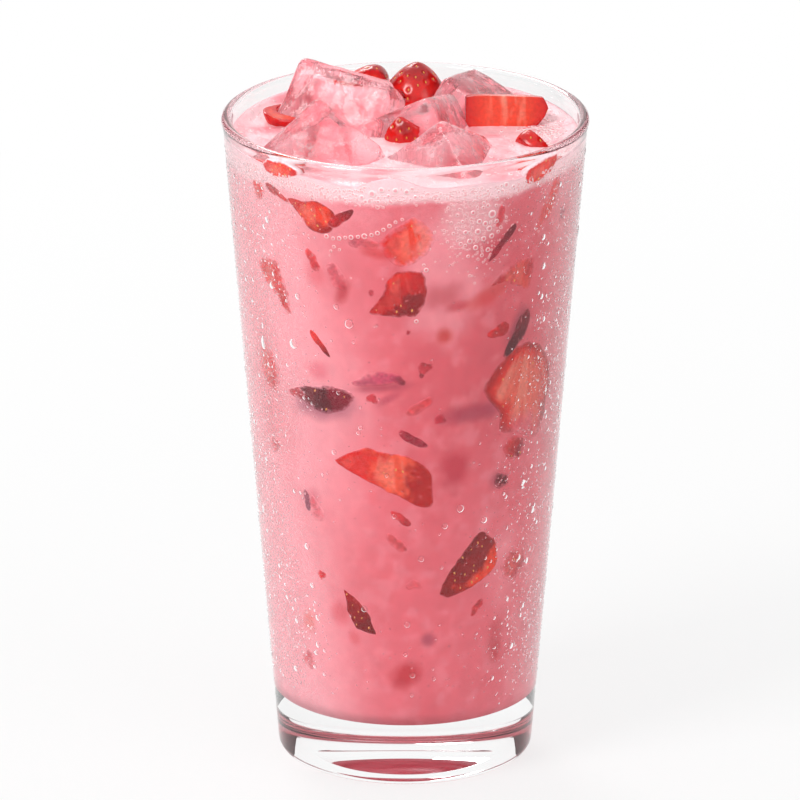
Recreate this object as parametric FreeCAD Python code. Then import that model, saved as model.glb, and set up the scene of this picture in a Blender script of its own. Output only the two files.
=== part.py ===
"""Strawberry coconut milk drink: a tall heavy-based tumbler, filled almost to its rim with a pink
milky drink in which ice cubes and cut strawberries float.

Millimetres, +Z up. The origin is the centre of the glass's foot, on the surface it stands on; -Y is the
front. The tumbler and the drink are turned forms round Z. The ice and the fruit that break the surface
are blocks and berries cut to shape, kept clear of the glass and of each other, and the drink is cut
round them.
"""

import FreeCAD, Part
import math
import os

V = FreeCAD.Vector
ORIGIN = V(0, 0, 0)
UP = V(0, 0, 1)

# Tumbler: outside
GLASS_HEIGHT = 161.0
FOOT_RADIUS = 30.7          # where the wall's outer line meets the table
SHOULDER_RADIUS = 44.0      # where the same line reaches the rim's height
HEEL_RADIUS = 3.0           # rounding between foot and wall
BEAD_PROUD = 0.3            # how far the fire-polished rim stands out from the wall's line
BEAD_HEIGHT = 3.2           # height over which it does so

# Tumbler: inside
WALL = 2.2                  # measured level, from outside line to inside line
FLOOR = 15.5                # thickness of the base
FLOOR_CORNER = 4.0          # rounding between floor and wall
PUNT_RADIUS = 14.0          # the shallow hollow under the foot
PUNT_DEPTH = 2.2

# Drink
FREE_DEPTH = 4.8            # from the rim down to the drink's surface
MENISCUS_RISE = 0.6         # how far the drink climbs the wall
MENISCUS_WIDTH = 3.0

# Ice and fruit
WALL_CLEARANCE = 0.4        # kept from the inside of the glass
PIECE_CLEARANCE = 0.3       # kept from the ice that a piece lies against
ICE_ROUNDING = 2.2          # melted edges
ICE_DRAFT = 0.12            # share by which a cube narrows towards the tray's bottom

LEVEL = GLASS_HEIGHT - FREE_DEPTH

# Ice cube: (edge lengths), (centre x and y as shares of the bore's radius at the surface, mm above the
# surface), (turn about Z, lean about X, roll about Y)
ICE = {
    "ice_tall": ((28, 26, 26), (-0.38, 0.42, -4.2), (-14, -31, 11)),
    "ice_front_left": ((25, 23, 24), (-0.47, -0.34, -5.0), (-12, -39, 35)),
    "ice_front_right": ((28, 24, 25), (0.25, -0.49, -9.2), (-36, -25, 42)),
    "ice_middle": ((24, 22, 23), (0.09, 0.08, -5.6), (-21, -11, 59)),
    "ice_back": ((21, 19, 18), (0.40, 0.53, -3.5), (-28, -5, 24)),
}


def wall_radius(height):
    """Outside radius of the tumbler's straight wall at a height."""
    return FOOT_RADIUS + (SHOULDER_RADIUS - FOOT_RADIUS) * height / GLASS_HEIGHT


def bore_radius(height):
    """Inside radius of the tumbler's straight wall at a height."""
    return wall_radius(height) - WALL


def line(a, b):
    """Straight edge between two (radius, height) points of a profile."""
    return Part.LineSegment(V(a[0], 0, a[1]), V(b[0], 0, b[1])).toShape()


def arc(a, middle, b):
    """Circular edge through three (radius, height) points of a profile."""
    return Part.Arc(V(a[0], 0, a[1]), V(middle[0], 0, middle[1]), V(b[0], 0, b[1])).toShape()


def curve(points):
    """Smooth edge through (radius, height) points of a profile."""
    spline = Part.BSplineCurve()
    spline.interpolate([V(r, 0, z) for r, z in points])
    return spline.toShape()


def turned(edges):
    """Solid turned round Z from a closed profile of edges."""
    face = Part.Face(Part.Wire(edges))
    return face.revolve(ORIGIN, UP, 360)


def corner_arc(corner, before, after, radius):
    """Start, middle and end of the arc that rounds a corner between two neighbours of a profile."""
    c, p, n = (V(x, 0, z) for x, z in (corner, before, after))
    to_before = (p - c).normalize()
    to_after = (n - c).normalize()
    half = to_before.getAngle(to_after) / 2
    reach = radius / math.tan(half)
    start = c + to_before * reach
    end = c + to_after * reach
    middle_way = (to_before + to_after).normalize()
    centre = c + middle_way * (radius / math.sin(half))
    middle = centre - middle_way * radius
    return [(q.x, q.z) for q in (start, middle, end)]


def inner_line(offset=0.0):
    """Floor centre, floor corner arc and wall direction of the tumbler's inside, moved inwards by offset."""
    floor = FLOOR + offset
    corner = (bore_radius(floor) - offset, floor)
    above = (bore_radius(GLASS_HEIGHT) - offset, GLASS_HEIGHT)
    start, middle, end = corner_arc(corner, (0, floor), above, FLOOR_CORNER)
    return (0, floor), start, middle, end


def tumbler():
    """The glass: outer wall, rounded heel, hollow under the foot, beaded rim, and a bore with a thick floor."""
    heel = corner_arc(
        (FOOT_RADIUS, 0),
        (0, 0),
        (SHOULDER_RADIUS, GLASS_HEIGHT),
        HEEL_RADIUS,
    )
    punt_sphere = (PUNT_RADIUS**2 + PUNT_DEPTH**2) / (2 * PUNT_DEPTH)
    punt_half = PUNT_RADIUS / 2
    punt_middle = PUNT_DEPTH - (punt_sphere - math.sqrt(punt_sphere**2 - punt_half**2))
    floor_centre, corner_start, corner_middle, corner_end = inner_line()

    bead_foot = GLASS_HEIGHT - BEAD_HEIGHT
    lip = WALL / 2 + BEAD_PROUD / 2
    lip_height = GLASS_HEIGHT - lip
    outer_lip = wall_radius(lip_height) + BEAD_PROUD
    inner_lip = outer_lip - 2 * lip
    edges = [
        arc((0, PUNT_DEPTH), (punt_half, punt_middle), (PUNT_RADIUS, 0)),
        line((PUNT_RADIUS, 0), heel[0]),
        arc(*heel),
        line(heel[2], (wall_radius(bead_foot), bead_foot)),
        line((wall_radius(bead_foot), bead_foot), (outer_lip, lip_height)),
        arc((outer_lip, lip_height), (outer_lip - lip, GLASS_HEIGHT), (inner_lip, lip_height)),
        line((inner_lip, lip_height), corner_end),
        arc(corner_end, corner_middle, corner_start),
        line(corner_start, floor_centre),
        line(floor_centre, (0, PUNT_DEPTH)),
    ]
    return turned(edges)


def bore(top, offset=0.0):
    """Profile points of what fills the bore from the floor to a height, moved inwards by offset."""
    return (*inner_line(offset), (bore_radius(top) - offset, top))


def liquid():
    """The drink up to its level. The rim of its surface is drawn up the glass along an arc that leaves the
    level tangentially."""
    edge_height = LEVEL + MENISCUS_RISE
    floor_centre, corner_start, corner_middle, corner_end, edge = bore(edge_height)
    foot = (edge[0] - MENISCUS_WIDTH, LEVEL)
    bend = (MENISCUS_WIDTH**2 + MENISCUS_RISE**2) / (2 * MENISCUS_RISE)
    half = math.asin(MENISCUS_WIDTH / bend) / 2
    middle = (foot[0] + bend * math.sin(half), LEVEL + bend * (1 - math.cos(half)))
    return turned([
        line((0, LEVEL), floor_centre),
        line(floor_centre, corner_start),
        arc(corner_start, corner_middle, corner_end),
        line(corner_end, edge),
        arc(edge, middle, foot),
        line(foot, (0, LEVEL)),
    ])


def room():
    """The space that ice and fruit may take: the bore, kept clear of the glass, and on up past the rim."""
    floor_centre, corner_start, corner_middle, corner_end, top = bore(2 * GLASS_HEIGHT, WALL_CLEARANCE)
    return turned([
        line((0, top[1]), floor_centre),
        line(floor_centre, corner_start),
        arc(corner_start, corner_middle, corner_end),
        line(corner_end, top),
        line(top, (0, top[1])),
    ])


def placed(shape, place, turns):
    """A shape made round the origin, rolled about Y, leaned about X, turned about Z and set at a place in the
    bore, whose height is counted from the drink's surface."""
    turn, lean, roll = turns
    reach = bore_radius(LEVEL)
    x, y, above = place[0] * reach, place[1] * reach, place[2]
    rotation = (
        FreeCAD.Rotation(UP, turn)
        * FreeCAD.Rotation(V(1, 0, 0), lean)
        * FreeCAD.Rotation(V(0, 1, 0), roll)
    )
    moved = shape.copy()
    moved.Placement = FreeCAD.Placement(V(x, y, LEVEL + above), rotation).multiply(shape.Placement)
    return moved


def cube(size, grown=0.0):
    """An ice cube from a tray: a block with a little draft and melted edges, grown on every side if asked."""
    length, depth, height = (s + 2 * grown for s in size)
    in_x = length * ICE_DRAFT / 2
    in_y = depth * ICE_DRAFT / 2
    block = Part.makeWedge(
        -length / 2, -height / 2, -depth / 2, -depth / 2 + in_y, -length / 2 + in_x,
        length / 2, height / 2, depth / 2, depth / 2 - in_y, length / 2 - in_x,
    )
    block.rotate(ORIGIN, V(1, 0, 0), 90)
    return block.makeFillet(ICE_ROUNDING, block.Edges)


def strawberry(length, radius):
    """A whole berry standing on its shoulders round Z, tip up, with the shoulders at Z = 0."""
    outline = [
        (0, 0),
        (0.62 * radius, 0.02 * length),
        (0.96 * radius, 0.16 * length),
        (radius, 0.32 * length),
        (0.86 * radius, 0.56 * length),
        (0.52 * radius, 0.82 * length),
        (0.22 * radius, 0.95 * length),
        (0, length),
    ]
    return turned([curve(outline), line((0, length), (0, 0))])


def slab(x, y, z):
    """A block by its lowest and highest value along each axis, for cutting fruit."""
    return Part.makeBox(x[1] - x[0], y[1] - y[0], z[1] - z[0], V(x[0], y[0], z[0]))


def berry_tip(length, radius, kept):
    """The pointed end of a berry, cut across: kept is its height from the cut to the tip."""
    whole = strawberry(length, radius)
    end = whole.common(slab((-radius, radius), (-radius, radius), (length - kept, length)))
    end.translate(V(0, 0, kept / 2 - length))
    return end


def berry_slice(length, radius, near, far, crown=1.0):
    """A slice cut along the berry between two planes at distances near and far from its axis, tip towards +X.
    Its upper edge is cut flat at crown times the radius."""
    whole = strawberry(length, radius)
    cut = whole.common(slab((-crown * radius, radius), (near, far), (0, length)))
    cut.translate(V(0, -(near + far) / 2, -length / 2))
    cut.rotate(ORIGIN, V(0, 1, 0), 90)
    return cut


def berry_wedge(length, radius, kept):
    """A quarter of a berry cut along its axis twice and once across, skin towards -X and -Y."""
    whole = strawberry(length, radius)
    cut = whole.common(slab((-radius, 0), (-radius, 0), (0, kept)))
    cut.translate(V(radius / 3, radius / 3, -kept / 2))
    return cut


def fruit():
    """The pieces of strawberry that break the surface: (shape), then place and turns as the ice has them."""
    return {
        "berry_tip": (berry_tip(12.5, 7.6, 12), (0.065, 0.65, 3.7), (0, -4, 4)),
        "berry_slice": (berry_slice(20, 9.5, -1.0, 4.0, 0.3), (0.59, 0.22, 3.8), (4, -12, 3)),
        "berry_wedge": (berry_wedge(12, 6.0, 8), (-0.01, -0.11, 1.0), (35, 20, 16)),
        "berry_left": (berry_slice(14, 5.0, 1.0, 4.0), (-0.67, 0.29, 0.6), (51, -80, 0)),
        "berry_back": (berry_slice(13, 6.0, -1.2, 2.8), (-0.25, 0.83, 0.2), (176, 6, 4)),
        "berry_right": (berry_slice(10, 4.5, -2.5, 1.5), (0.75, -0.20, -2.0), (-50, 20, 8)),
        "berry_near_left": (berry_slice(13, 6.0, -1.8, 1.7, 0.3), (-0.68, -0.60, -0.5), (-50, -90, 0)),
        "berry_near_right": (berry_slice(15, 6.0, -1.8, 1.9, 0.3), (0.76, -0.50, -1.2), (57, -90, 0)),
    }


def build():
    """Every piece by its node's name. A later piece gives way to the earlier ones that it would run into."""
    glass = tumbler()
    space = room()
    floating = {}
    taken = []
    for name, (size, place, turns) in ICE.items():
        whole = placed(cube(size), place, turns).common(space)
        floating[name] = whole.cut(taken) if taken else whole
        taken.append(placed(cube(size, PIECE_CLEARANCE), place, turns))
    for name, (shape, place, turns) in fruit().items():
        floating[name] = placed(shape, place, turns).common(space).cut(taken)
        taken.append(floating[name])
    drink = liquid().cut(list(floating.values()))
    return {"glass": glass, "drink": drink, **floating}


def export(pieces):
    """Writes one STEP file per node and prints what each holds."""
    os.makedirs("parts", exist_ok=True)
    for name, shape in pieces.items():
        clean = shape.removeSplitter()
        box = clean.BoundBox
        print(
            f"{name:16s} solids {len(clean.Solids)} valid {clean.isValid()} volume {clean.Volume:10.1f}"
            f"  z {box.ZMin:6.1f} to {box.ZMax:6.1f}"
        )
        clean.exportStep(f"parts/{name}.step")


export(build())
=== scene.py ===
"""Looks of a strawberry coconut milk drink: a heavy-based tumbler of pink milky drink with ice cubes and cut
strawberries, froth and bubbles at its surface, strawberry pieces showing through the wall, and condensation.

Metres, +Z up, -Y is the front. Sizes are written in millimetres and turned to metres when a mesh is made.
Every new piece is a surface worked out as whole arrays: a function of two parameters on a grid.
A place on the wall is an azimuth in degrees, 0 at the front and rising to the right, and a height.
"""

import math

import bpy
import numpy as np
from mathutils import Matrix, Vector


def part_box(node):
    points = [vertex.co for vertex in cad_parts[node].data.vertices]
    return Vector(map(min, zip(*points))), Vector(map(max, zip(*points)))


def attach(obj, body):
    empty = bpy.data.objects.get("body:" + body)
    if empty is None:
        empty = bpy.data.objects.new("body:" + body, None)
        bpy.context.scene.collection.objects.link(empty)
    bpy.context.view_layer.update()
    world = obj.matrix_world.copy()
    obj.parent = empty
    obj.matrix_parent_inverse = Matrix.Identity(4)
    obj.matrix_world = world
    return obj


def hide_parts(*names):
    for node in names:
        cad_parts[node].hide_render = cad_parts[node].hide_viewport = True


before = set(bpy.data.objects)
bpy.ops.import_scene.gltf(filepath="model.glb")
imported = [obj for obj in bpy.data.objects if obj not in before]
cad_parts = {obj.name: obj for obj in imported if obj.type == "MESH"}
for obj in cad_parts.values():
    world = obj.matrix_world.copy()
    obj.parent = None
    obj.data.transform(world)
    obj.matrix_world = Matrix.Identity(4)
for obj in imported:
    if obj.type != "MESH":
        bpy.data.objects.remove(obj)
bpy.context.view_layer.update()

MM = 0.001
ICE_NODES = ("ice_tall", "ice_front_left", "ice_front_right", "ice_middle", "ice_back")
FRUIT_NODES = (
    "berry_tip", "berry_slice", "berry_wedge", "berry_left",
    "berry_back", "berry_right", "berry_near_left", "berry_near_right",
)

# The tumbler, in mm. Its height, width and the drink's level are read from the frame.
GLASS_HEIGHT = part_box("glass")[1].z / MM
BEAD_PROUD = 0.3
BEAD_HEIGHT = 3.2
LIP_NARROWING = 0.1   # how much narrower the wall is at the widest place of the bead than at its top
SHOULDER_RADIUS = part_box("glass")[1].x / MM - BEAD_PROUD + LIP_NARROWING
FOOT_RADIUS = 30.7
HEEL_RADIUS = 3.0
WALL = 2.2
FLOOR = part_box("drink")[0].z / MM
FLOOR_CORNER = 4.0
PUNT_RADIUS = 14.0
PUNT_DEPTH = 2.2
PUNT_EDGE = 0.5
MENISCUS_RISE = 0.6
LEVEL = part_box("drink")[1].z / MM - MENISCUS_RISE
TAPER = (SHOULDER_RADIUS - FOOT_RADIUS) / GLASS_HEIGHT

# How far what fills the glass reaches into its wall, in mm, so that no air gap shows
DRINK_PROUD = 0.10
FRUIT_PROUD = 0.22
BUBBLE_PROUD = 0.16

FOAM_BOTTOM = LEVEL - 4.6   # where the froth seen through the wall gives way to clear drink
FROTH_FOOT = LEVEL - 14.0   # where the mesh of the top joins that of the body, below the deepest ice


# ---------------------------------------------------------------- numbers and colours

def tone(hexcode):
    """Linear red, green and blue of an sRGB hex colour."""
    value = np.array([int(hexcode[i:i + 2], 16) for i in (1, 3, 5)]) / 255
    return np.where(value <= 0.04045, value / 12.92, ((value + 0.055) / 1.055) ** 2.4)


def step(low, high, value):
    """0 below low, 1 above high, and a smooth S between them."""
    t = np.clip((np.asarray(value, float) - low) / (high - low), 0, 1)
    return t * t * (3 - 2 * t)


def mix(a, b, share):
    """a where share is 0, b where it is 1."""
    share = np.asarray(share, float)
    if np.ndim(a) > 0 or np.ndim(b) > 0:
        share = share[..., None]
    return a * (1 - share) + b * share


def noise(points, size, seed=0):
    """Smooth random field from -1 to 1: a random value at each corner of cubes of the given size, blended
    with an S-shaped step across each cube."""
    p = np.asarray(points, float) / size + 31.7 * seed   # moved, so that each seed has its own field
    cell = np.floor(p).astype(np.int64)
    part = p - cell
    part = part * part * (3 - 2 * part)
    total = np.zeros(p.shape[:-1])
    for corner in np.ndindex(2, 2, 2):
        x, y, z = np.moveaxis(cell + np.array(corner), -1, 0)
        h = (x * 73856093) ^ (y * 19349663) ^ (z * 83492791) ^ (seed * 2654435761)
        h = ((h ^ (h >> 13)) * 1274126177) & 0xFFFFFFFF
        value = ((h ^ (h >> 16)) & 0xFFFF) / 32767.5 - 1
        total += value * np.prod(np.where(corner, part, 1 - part), axis=-1)
    return total


def rough(points, size, octaves=3, seed=0):
    """Noise at a size and at its halves, each half as strong as the one before."""
    return sum(noise(points, size / 2**k, seed + k) / 2**k for k in range(octaves))


def arc_gap(azimuth, other):
    """The turn from other to an azimuth the short way round, in degrees from -180 to 180."""
    return (np.asarray(azimuth) - other + 180) % 360 - 180


# ---------------------------------------------------------------- meshes

def set_tint(mesh, colours):
    """Puts a linear colour for each point in the attribute "tint"."""
    rgba = np.ones((len(mesh.vertices), 4))
    rgba[:, :3] = np.asarray(colours).reshape(-1, 3)
    mesh.attributes.new("tint", "FLOAT_COLOR", "POINT").data.foreach_set("color", rgba.ravel())


def mesh_object(name, points, faces, colours=None):
    """An object from points in mm and faces of three or four corners; colours go to the attribute "tint"."""
    mesh = bpy.data.meshes.new(name)
    points = np.asarray(points, float).reshape(-1, 3) * MM
    loops = np.concatenate([np.asarray(f).reshape(-1) for f in faces])
    totals = np.concatenate([np.full(len(f), np.asarray(f).shape[1]) for f in faces])
    starts = np.concatenate([[0], np.cumsum(totals)[:-1]])
    mesh.vertices.add(len(points))
    mesh.vertices.foreach_set("co", points.ravel())
    mesh.loops.add(len(loops))
    mesh.loops.foreach_set("vertex_index", loops.astype(np.int32))
    mesh.polygons.add(len(totals))
    mesh.polygons.foreach_set("loop_start", starts.astype(np.int32))
    mesh.polygons.foreach_set("use_smooth", np.ones(len(totals), bool))
    mesh.update(calc_edges=True)
    mesh.validate()
    if colours is not None:
        set_tint(mesh, colours)
    piece = bpy.data.objects.new(name, mesh)
    bpy.context.scene.collection.objects.link(piece)
    return piece


def grid_faces(rows, columns):
    """Quads of a grid of rows by columns points, its last column joined to the first."""
    i, j = np.meshgrid(np.arange(rows - 1), np.arange(columns), indexing="ij")
    k = (j + 1) % columns
    quads = np.stack([i * columns + j, i * columns + k, (i + 1) * columns + k, (i + 1) * columns + j], -1)
    return quads.reshape(-1, 4)


def halves(quads):
    """Each four-cornered face as two triangles."""
    return np.concatenate([quads[:, [0, 1, 2]], quads[:, [0, 2, 3]]])


def cap_faces(ring, centre, turned=False):
    """Triangles between a ring of point numbers and a centre point."""
    after = np.roll(ring, -1)
    order = (after, ring) if turned else (ring, after)
    return np.stack([*order, np.full(len(ring), centre)], -1)


def lathe(profile, azimuths):
    """Points and faces of a profile of (radius, height) turned round Z. The profile starts and ends on the
    axis, where the rows close to one point each. It runs up the outside and down the inside."""
    profile = np.asarray(profile, float)
    body = profile[1:-1]
    a = np.radians(azimuths)
    points = round_z(body[:, 0, None], a, body[:, 1, None])
    rows, columns = points.shape[:2]
    ends = np.array([[0, 0, profile[0, 1]], [0, 0, profile[-1, 1]]])
    points = np.concatenate([points.reshape(-1, 3), ends])
    low = cap_faces(np.arange(columns), rows * columns, turned=True)
    high = cap_faces(np.arange(columns) + (rows - 1) * columns, rows * columns + 1)
    return points, [grid_faces(rows, columns), low, high]


def outside_radius(height):
    """Outside radius of the tumbler's straight wall at a height."""
    return FOOT_RADIUS + TAPER * height


def bore_radius(height):
    """Inside radius of the tumbler's straight wall at a height."""
    return outside_radius(height) - WALL


def round_z(radius, azimuth, height):
    """Points at a radius from the axis, an azimuth in radians and a height."""
    x, y, z = np.broadcast_arrays(radius * np.sin(azimuth), -radius * np.cos(azimuth), height)
    return np.stack([x, y, z], -1)


def run(a, b, count):
    """Points evenly along a straight line, without its last one."""
    return np.linspace(a, b, count, endpoint=False)


def bend(before, corner, after, radius, count):
    """Points of the arc that rounds a corner between two neighbours, without its last one."""
    c, p, n = (np.array(q, float) for q in (corner, before, after))
    to_p = (p - c) / np.linalg.norm(p - c)
    to_n = (n - c) / np.linalg.norm(n - c)
    half = math.acos(float(np.clip(to_p @ to_n, -1, 1))) / 2
    centre = c + (to_p + to_n) / np.linalg.norm(to_p + to_n) * radius / math.sin(half)
    start = c + to_p * radius / math.tan(half) - centre
    end = c + to_n * radius / math.tan(half) - centre
    t = np.linspace(0, 1, count)[:, None]
    sweep = math.pi - 2 * half
    return centre + (np.sin((1 - t) * sweep) * start + np.sin(t * sweep) * end) / math.sin(sweep)


def on_wall(azimuth, height, proud=0.0):
    """Points on the inside of the wall, moved into the glass by proud."""
    return round_z(bore_radius(height) + proud, np.radians(azimuth), height)


# ---------------------------------------------------------------- materials

def node(tree, kind, settings=None, **inputs):
    """Adds a node: settings are its own properties, inputs are numbers or sockets by name or place."""
    made = tree.nodes.new("ShaderNode" + kind)
    for key, value in (settings or {}).items():
        setattr(made, key, value)
    for key, value in inputs.items():
        place = int(key[1:]) if key[0] == "i" and key[1:].isdigit() else key.replace("_", " ")
        if isinstance(value, bpy.types.NodeSocket):
            tree.links.new(value, made.inputs[place])
        else:
            made.inputs[place].default_value = value
    return made


def material(name, kind, **inputs):
    """A new material: its node tree, its shader with the inputs given, and its output."""
    made = bpy.data.materials.new(name)
    made.use_nodes = True
    tree = made.node_tree
    tree.nodes.clear()
    shader = node(tree, kind, **inputs)
    output = node(tree, "OutputMaterial", Surface=shader.outputs[0])
    return made, tree, shader, output


def colour4(hexcode):
    """An sRGB hex colour as the four linear numbers that a socket takes."""
    return (*tone(hexcode), 1.0)


def see_through_shadows(tree, shader, output, share, tint="#ffffff"):
    """Lets light through a clear thing: to a shadow ray it is almost transparent, as the real one is."""
    path = node(tree, "LightPath")
    clear = node(tree, "BsdfTransparent", Color=colour4(tint))
    level = node(tree, "Math", {"operation": "MULTIPLY"}, i0=path.outputs["Is Shadow Ray"], i1=share)
    blend = node(tree, "MixShader", i0=level.outputs[0], i1=shader.outputs[0], i2=clear.outputs[0])
    tree.links.new(blend.outputs[0], output.inputs["Surface"])
    return blend


def glass_material():
    """Pressed soda-lime glass, fire-polished: IOR 1.5, perfectly smooth. Where warm air meets the cold wall
    it is fogged by droplets too fine to draw one by one, which scatter the light: the attribute "fog" says
    where."""
    made, tree, shader, output = material(
        "clear soda-lime glass", "BsdfPrincipled",
        Base_Color=colour4("#fbfdfd"), Roughness=0.0, IOR=1.5, Transmission_Weight=1.0,
    )
    clear = see_through_shadows(tree, shader, output, 0.92)
    fog = node(tree, "Attribute", {"attribute_name": "fog"})
    place = node(tree, "TexCoord")
    grain = node(tree, "TexNoise", Vector=place.outputs["Object"], Scale=2600.0, Detail=3.0)
    spread = node(tree, "MapRange", Value=grain.outputs[0], i1=0.42, i2=0.64, i3=0.1, i4=2.0)
    level = node(tree, "Math", {"operation": "MULTIPLY"}, i0=fog.outputs["Fac"], i1=spread.outputs[0])
    veil = node(tree, "BsdfPrincipled", Base_Color=colour4("#fff0f2"), Roughness=0.5)
    blend = node(tree, "MixShader", i0=level.outputs[0], i1=clear.outputs[0], i2=veil.outputs[0])
    tree.links.new(blend.outputs[0], output.inputs["Surface"])
    return made


def water_material():
    """Condensed water: clear, IOR 1.33, smooth."""
    made, tree, shader, output = material(
        "condensed water", "BsdfPrincipled",
        Base_Color=colour4("#ffffff"), Roughness=0.0, IOR=1.33, Transmission_Weight=1.0,
    )
    see_through_shadows(tree, shader, output, 0.95)
    return made


def ice_material():
    """Wet melting ice from the drink: clear with a pink cast, IOR 1.31, its skin slightly rough and
    rippled."""
    made, tree, shader, output = material(
        "melting ice", "BsdfPrincipled", Base_Color=colour4("#fde9ec"), IOR=1.31, Transmission_Weight=1.0,
    )
    place = node(tree, "TexCoord")
    cloud = node(tree, "TexNoise", Vector=place.outputs["Object"], Scale=160.0, Detail=5.0, Roughness=0.6)
    ramp = node(tree, "MapRange", Value=cloud.outputs[0], i1=0.35, i2=0.7, i3=0.02, i4=0.14)
    tree.links.new(ramp.outputs[0], shader.inputs["Roughness"])
    ripple = node(tree, "TexNoise", Vector=place.outputs["Object"], Scale=330.0, Detail=3.0)
    bump = node(tree, "Bump", Height=ripple.outputs[0], Strength=0.5, Distance=0.0006)
    tree.links.new(bump.outputs[0], shader.inputs["Normal"])
    clear = see_through_shadows(tree, shader, output, 0.9, "#fdeef0")
    # White clouds of trapped air and a film of milk over part of the skin
    frost = node(tree, "BsdfPrincipled", Base_Color=colour4("#fee6e9"), Roughness=0.3)
    tree.links.new(bump.outputs[0], frost.inputs["Normal"])
    patch = node(tree, "TexNoise", Vector=place.outputs["Object"], Scale=260.0, Detail=8.0, Roughness=0.72)
    level = node(tree, "MapRange", Value=patch.outputs[0], i1=0.48, i2=0.7, i3=0.03, i4=0.5)
    blend = node(tree, "MixShader", i0=level.outputs[0], i1=clear.outputs[0], i2=frost.outputs[0])
    tree.links.new(blend.outputs[0], output.inputs["Surface"])
    return made


def tinted_material(name, grain, detail, roughness, spread, finish):
    """An opaque wet food: its colour in the attribute "tint", lighter and darker by a fine grain. Grain is
    the noise's scale, in cycles to a metre, and spread is the darkest and lightest share of the colour."""
    made, tree, shader, _ = material(name, "BsdfPrincipled", **finish)
    tint = node(tree, "Attribute", {"attribute_name": "tint"})
    place = node(tree, "TexCoord")
    where = place.outputs["Object"]
    field = node(tree, "TexNoise", Vector=where, Scale=grain, Detail=detail, Roughness=roughness)
    level = node(tree, "MapRange", Value=field.outputs[0], i1=0.3, i2=0.7, i3=spread[0], i4=spread[1])
    shade = node(tree, "VectorMath", {"operation": "SCALE"}, i0=tint.outputs["Color"], Scale=level.outputs[0])
    tree.links.new(shade.outputs[0], shader.inputs["Base Color"])
    return made, tree, shader, field


def grain_bump(tree, shader, field, strength, depth):
    """Raises a surface by its grain, by a depth in metres."""
    bump = node(tree, "Bump", Height=field.outputs[0], Strength=strength, Distance=depth)
    tree.links.new(bump.outputs[0], shader.inputs["Normal"])


def drink_material(name, gloss, grain, bump_depth):
    """Milk coloured by strawberry: opaque, with a faint mottle of pulp and fat. Behind the wall it has no
    gloss of its own, because it wets the glass; on top it has a liquid's."""
    finish = {"Roughness": 0.35, "Specular_IOR_Level": gloss}
    made, tree, shader, pulp = tinted_material(name, grain, 4.0, 0.65, (0.94, 1.05), finish)
    if bump_depth:
        grain_bump(tree, shader, pulp, 0.5, bump_depth)
    return made


def berry_material(name, gloss):
    """Cut ripe strawberry, wet: skin and flesh with a fine juicy grain of about a millimetre."""
    finish = {"Roughness": 0.22, "Specular_IOR_Level": gloss}
    made, tree, shader, grain = tinted_material(name, 1100.0, 3.0, 0.6, (0.88, 1.12), finish)
    grain_bump(tree, shader, grain, 0.25, 0.0002)
    return made


def seed_material():
    """A strawberry's seed, yellow and wet."""
    return material("strawberry seed", "BsdfPrincipled", Base_Color=colour4("#e39a40"), Roughness=0.3)[0]


# ---------------------------------------------------------------- glass

def belongs(piece, slot, *nodes):
    """Joins a piece to the object's one body and lets it stand for CAD nodes, which it hides. slot is not
    used.
    """
    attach(piece, "root")
    if nodes:
        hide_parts(*nodes)


def glass_profile():
    """Outline of the tumbler's section from the hollow under the foot, up the outside and down the inside."""
    sphere = (PUNT_RADIUS**2 + PUNT_DEPTH**2) / (2 * PUNT_DEPTH)
    hollow_r = run(0.0, PUNT_RADIUS, 16)
    hollow = np.stack([hollow_r, PUNT_DEPTH - sphere + np.sqrt(sphere**2 - hollow_r**2)], -1)
    heel = bend((0, 0), (FOOT_RADIUS, 0), (SHOULDER_RADIUS, GLASS_HEIGHT), HEEL_RADIUS, 10)
    bead_foot = GLASS_HEIGHT - BEAD_HEIGHT
    lip = (WALL + BEAD_PROUD) / 2
    lip_height = GLASS_HEIGHT - lip
    outer_lip = outside_radius(lip_height) + BEAD_PROUD
    turn = np.radians(np.linspace(0, 180, 18))
    rim = np.stack([outer_lip - lip + lip * np.cos(turn), lip_height + lip * np.sin(turn)], -1)
    corner = bend(
        (SHOULDER_RADIUS - WALL, GLASS_HEIGHT), (bore_radius(FLOOR), FLOOR), (0, FLOOR), FLOOR_CORNER, 12
    )
    return np.concatenate([
        hollow,
        bend(hollow[-1], (PUNT_RADIUS, 0), (PUNT_RADIUS + 3, 0), PUNT_EDGE, 4),
        run((PUNT_RADIUS + 1, 0), heel[0], 6),
        heel,
        run(heel[-1], (outside_radius(bead_foot), bead_foot), 60)[1:],
        run((outside_radius(bead_foot), bead_foot), (outer_lip, lip_height), 5),
        rim,
        run((bore_radius(lip_height) - 0.02, lip_height - 0.4), corner[0], 60),
        corner,
        np.linspace(corner[-1], (0, FLOOR), 14)[1:],
    ])


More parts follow.
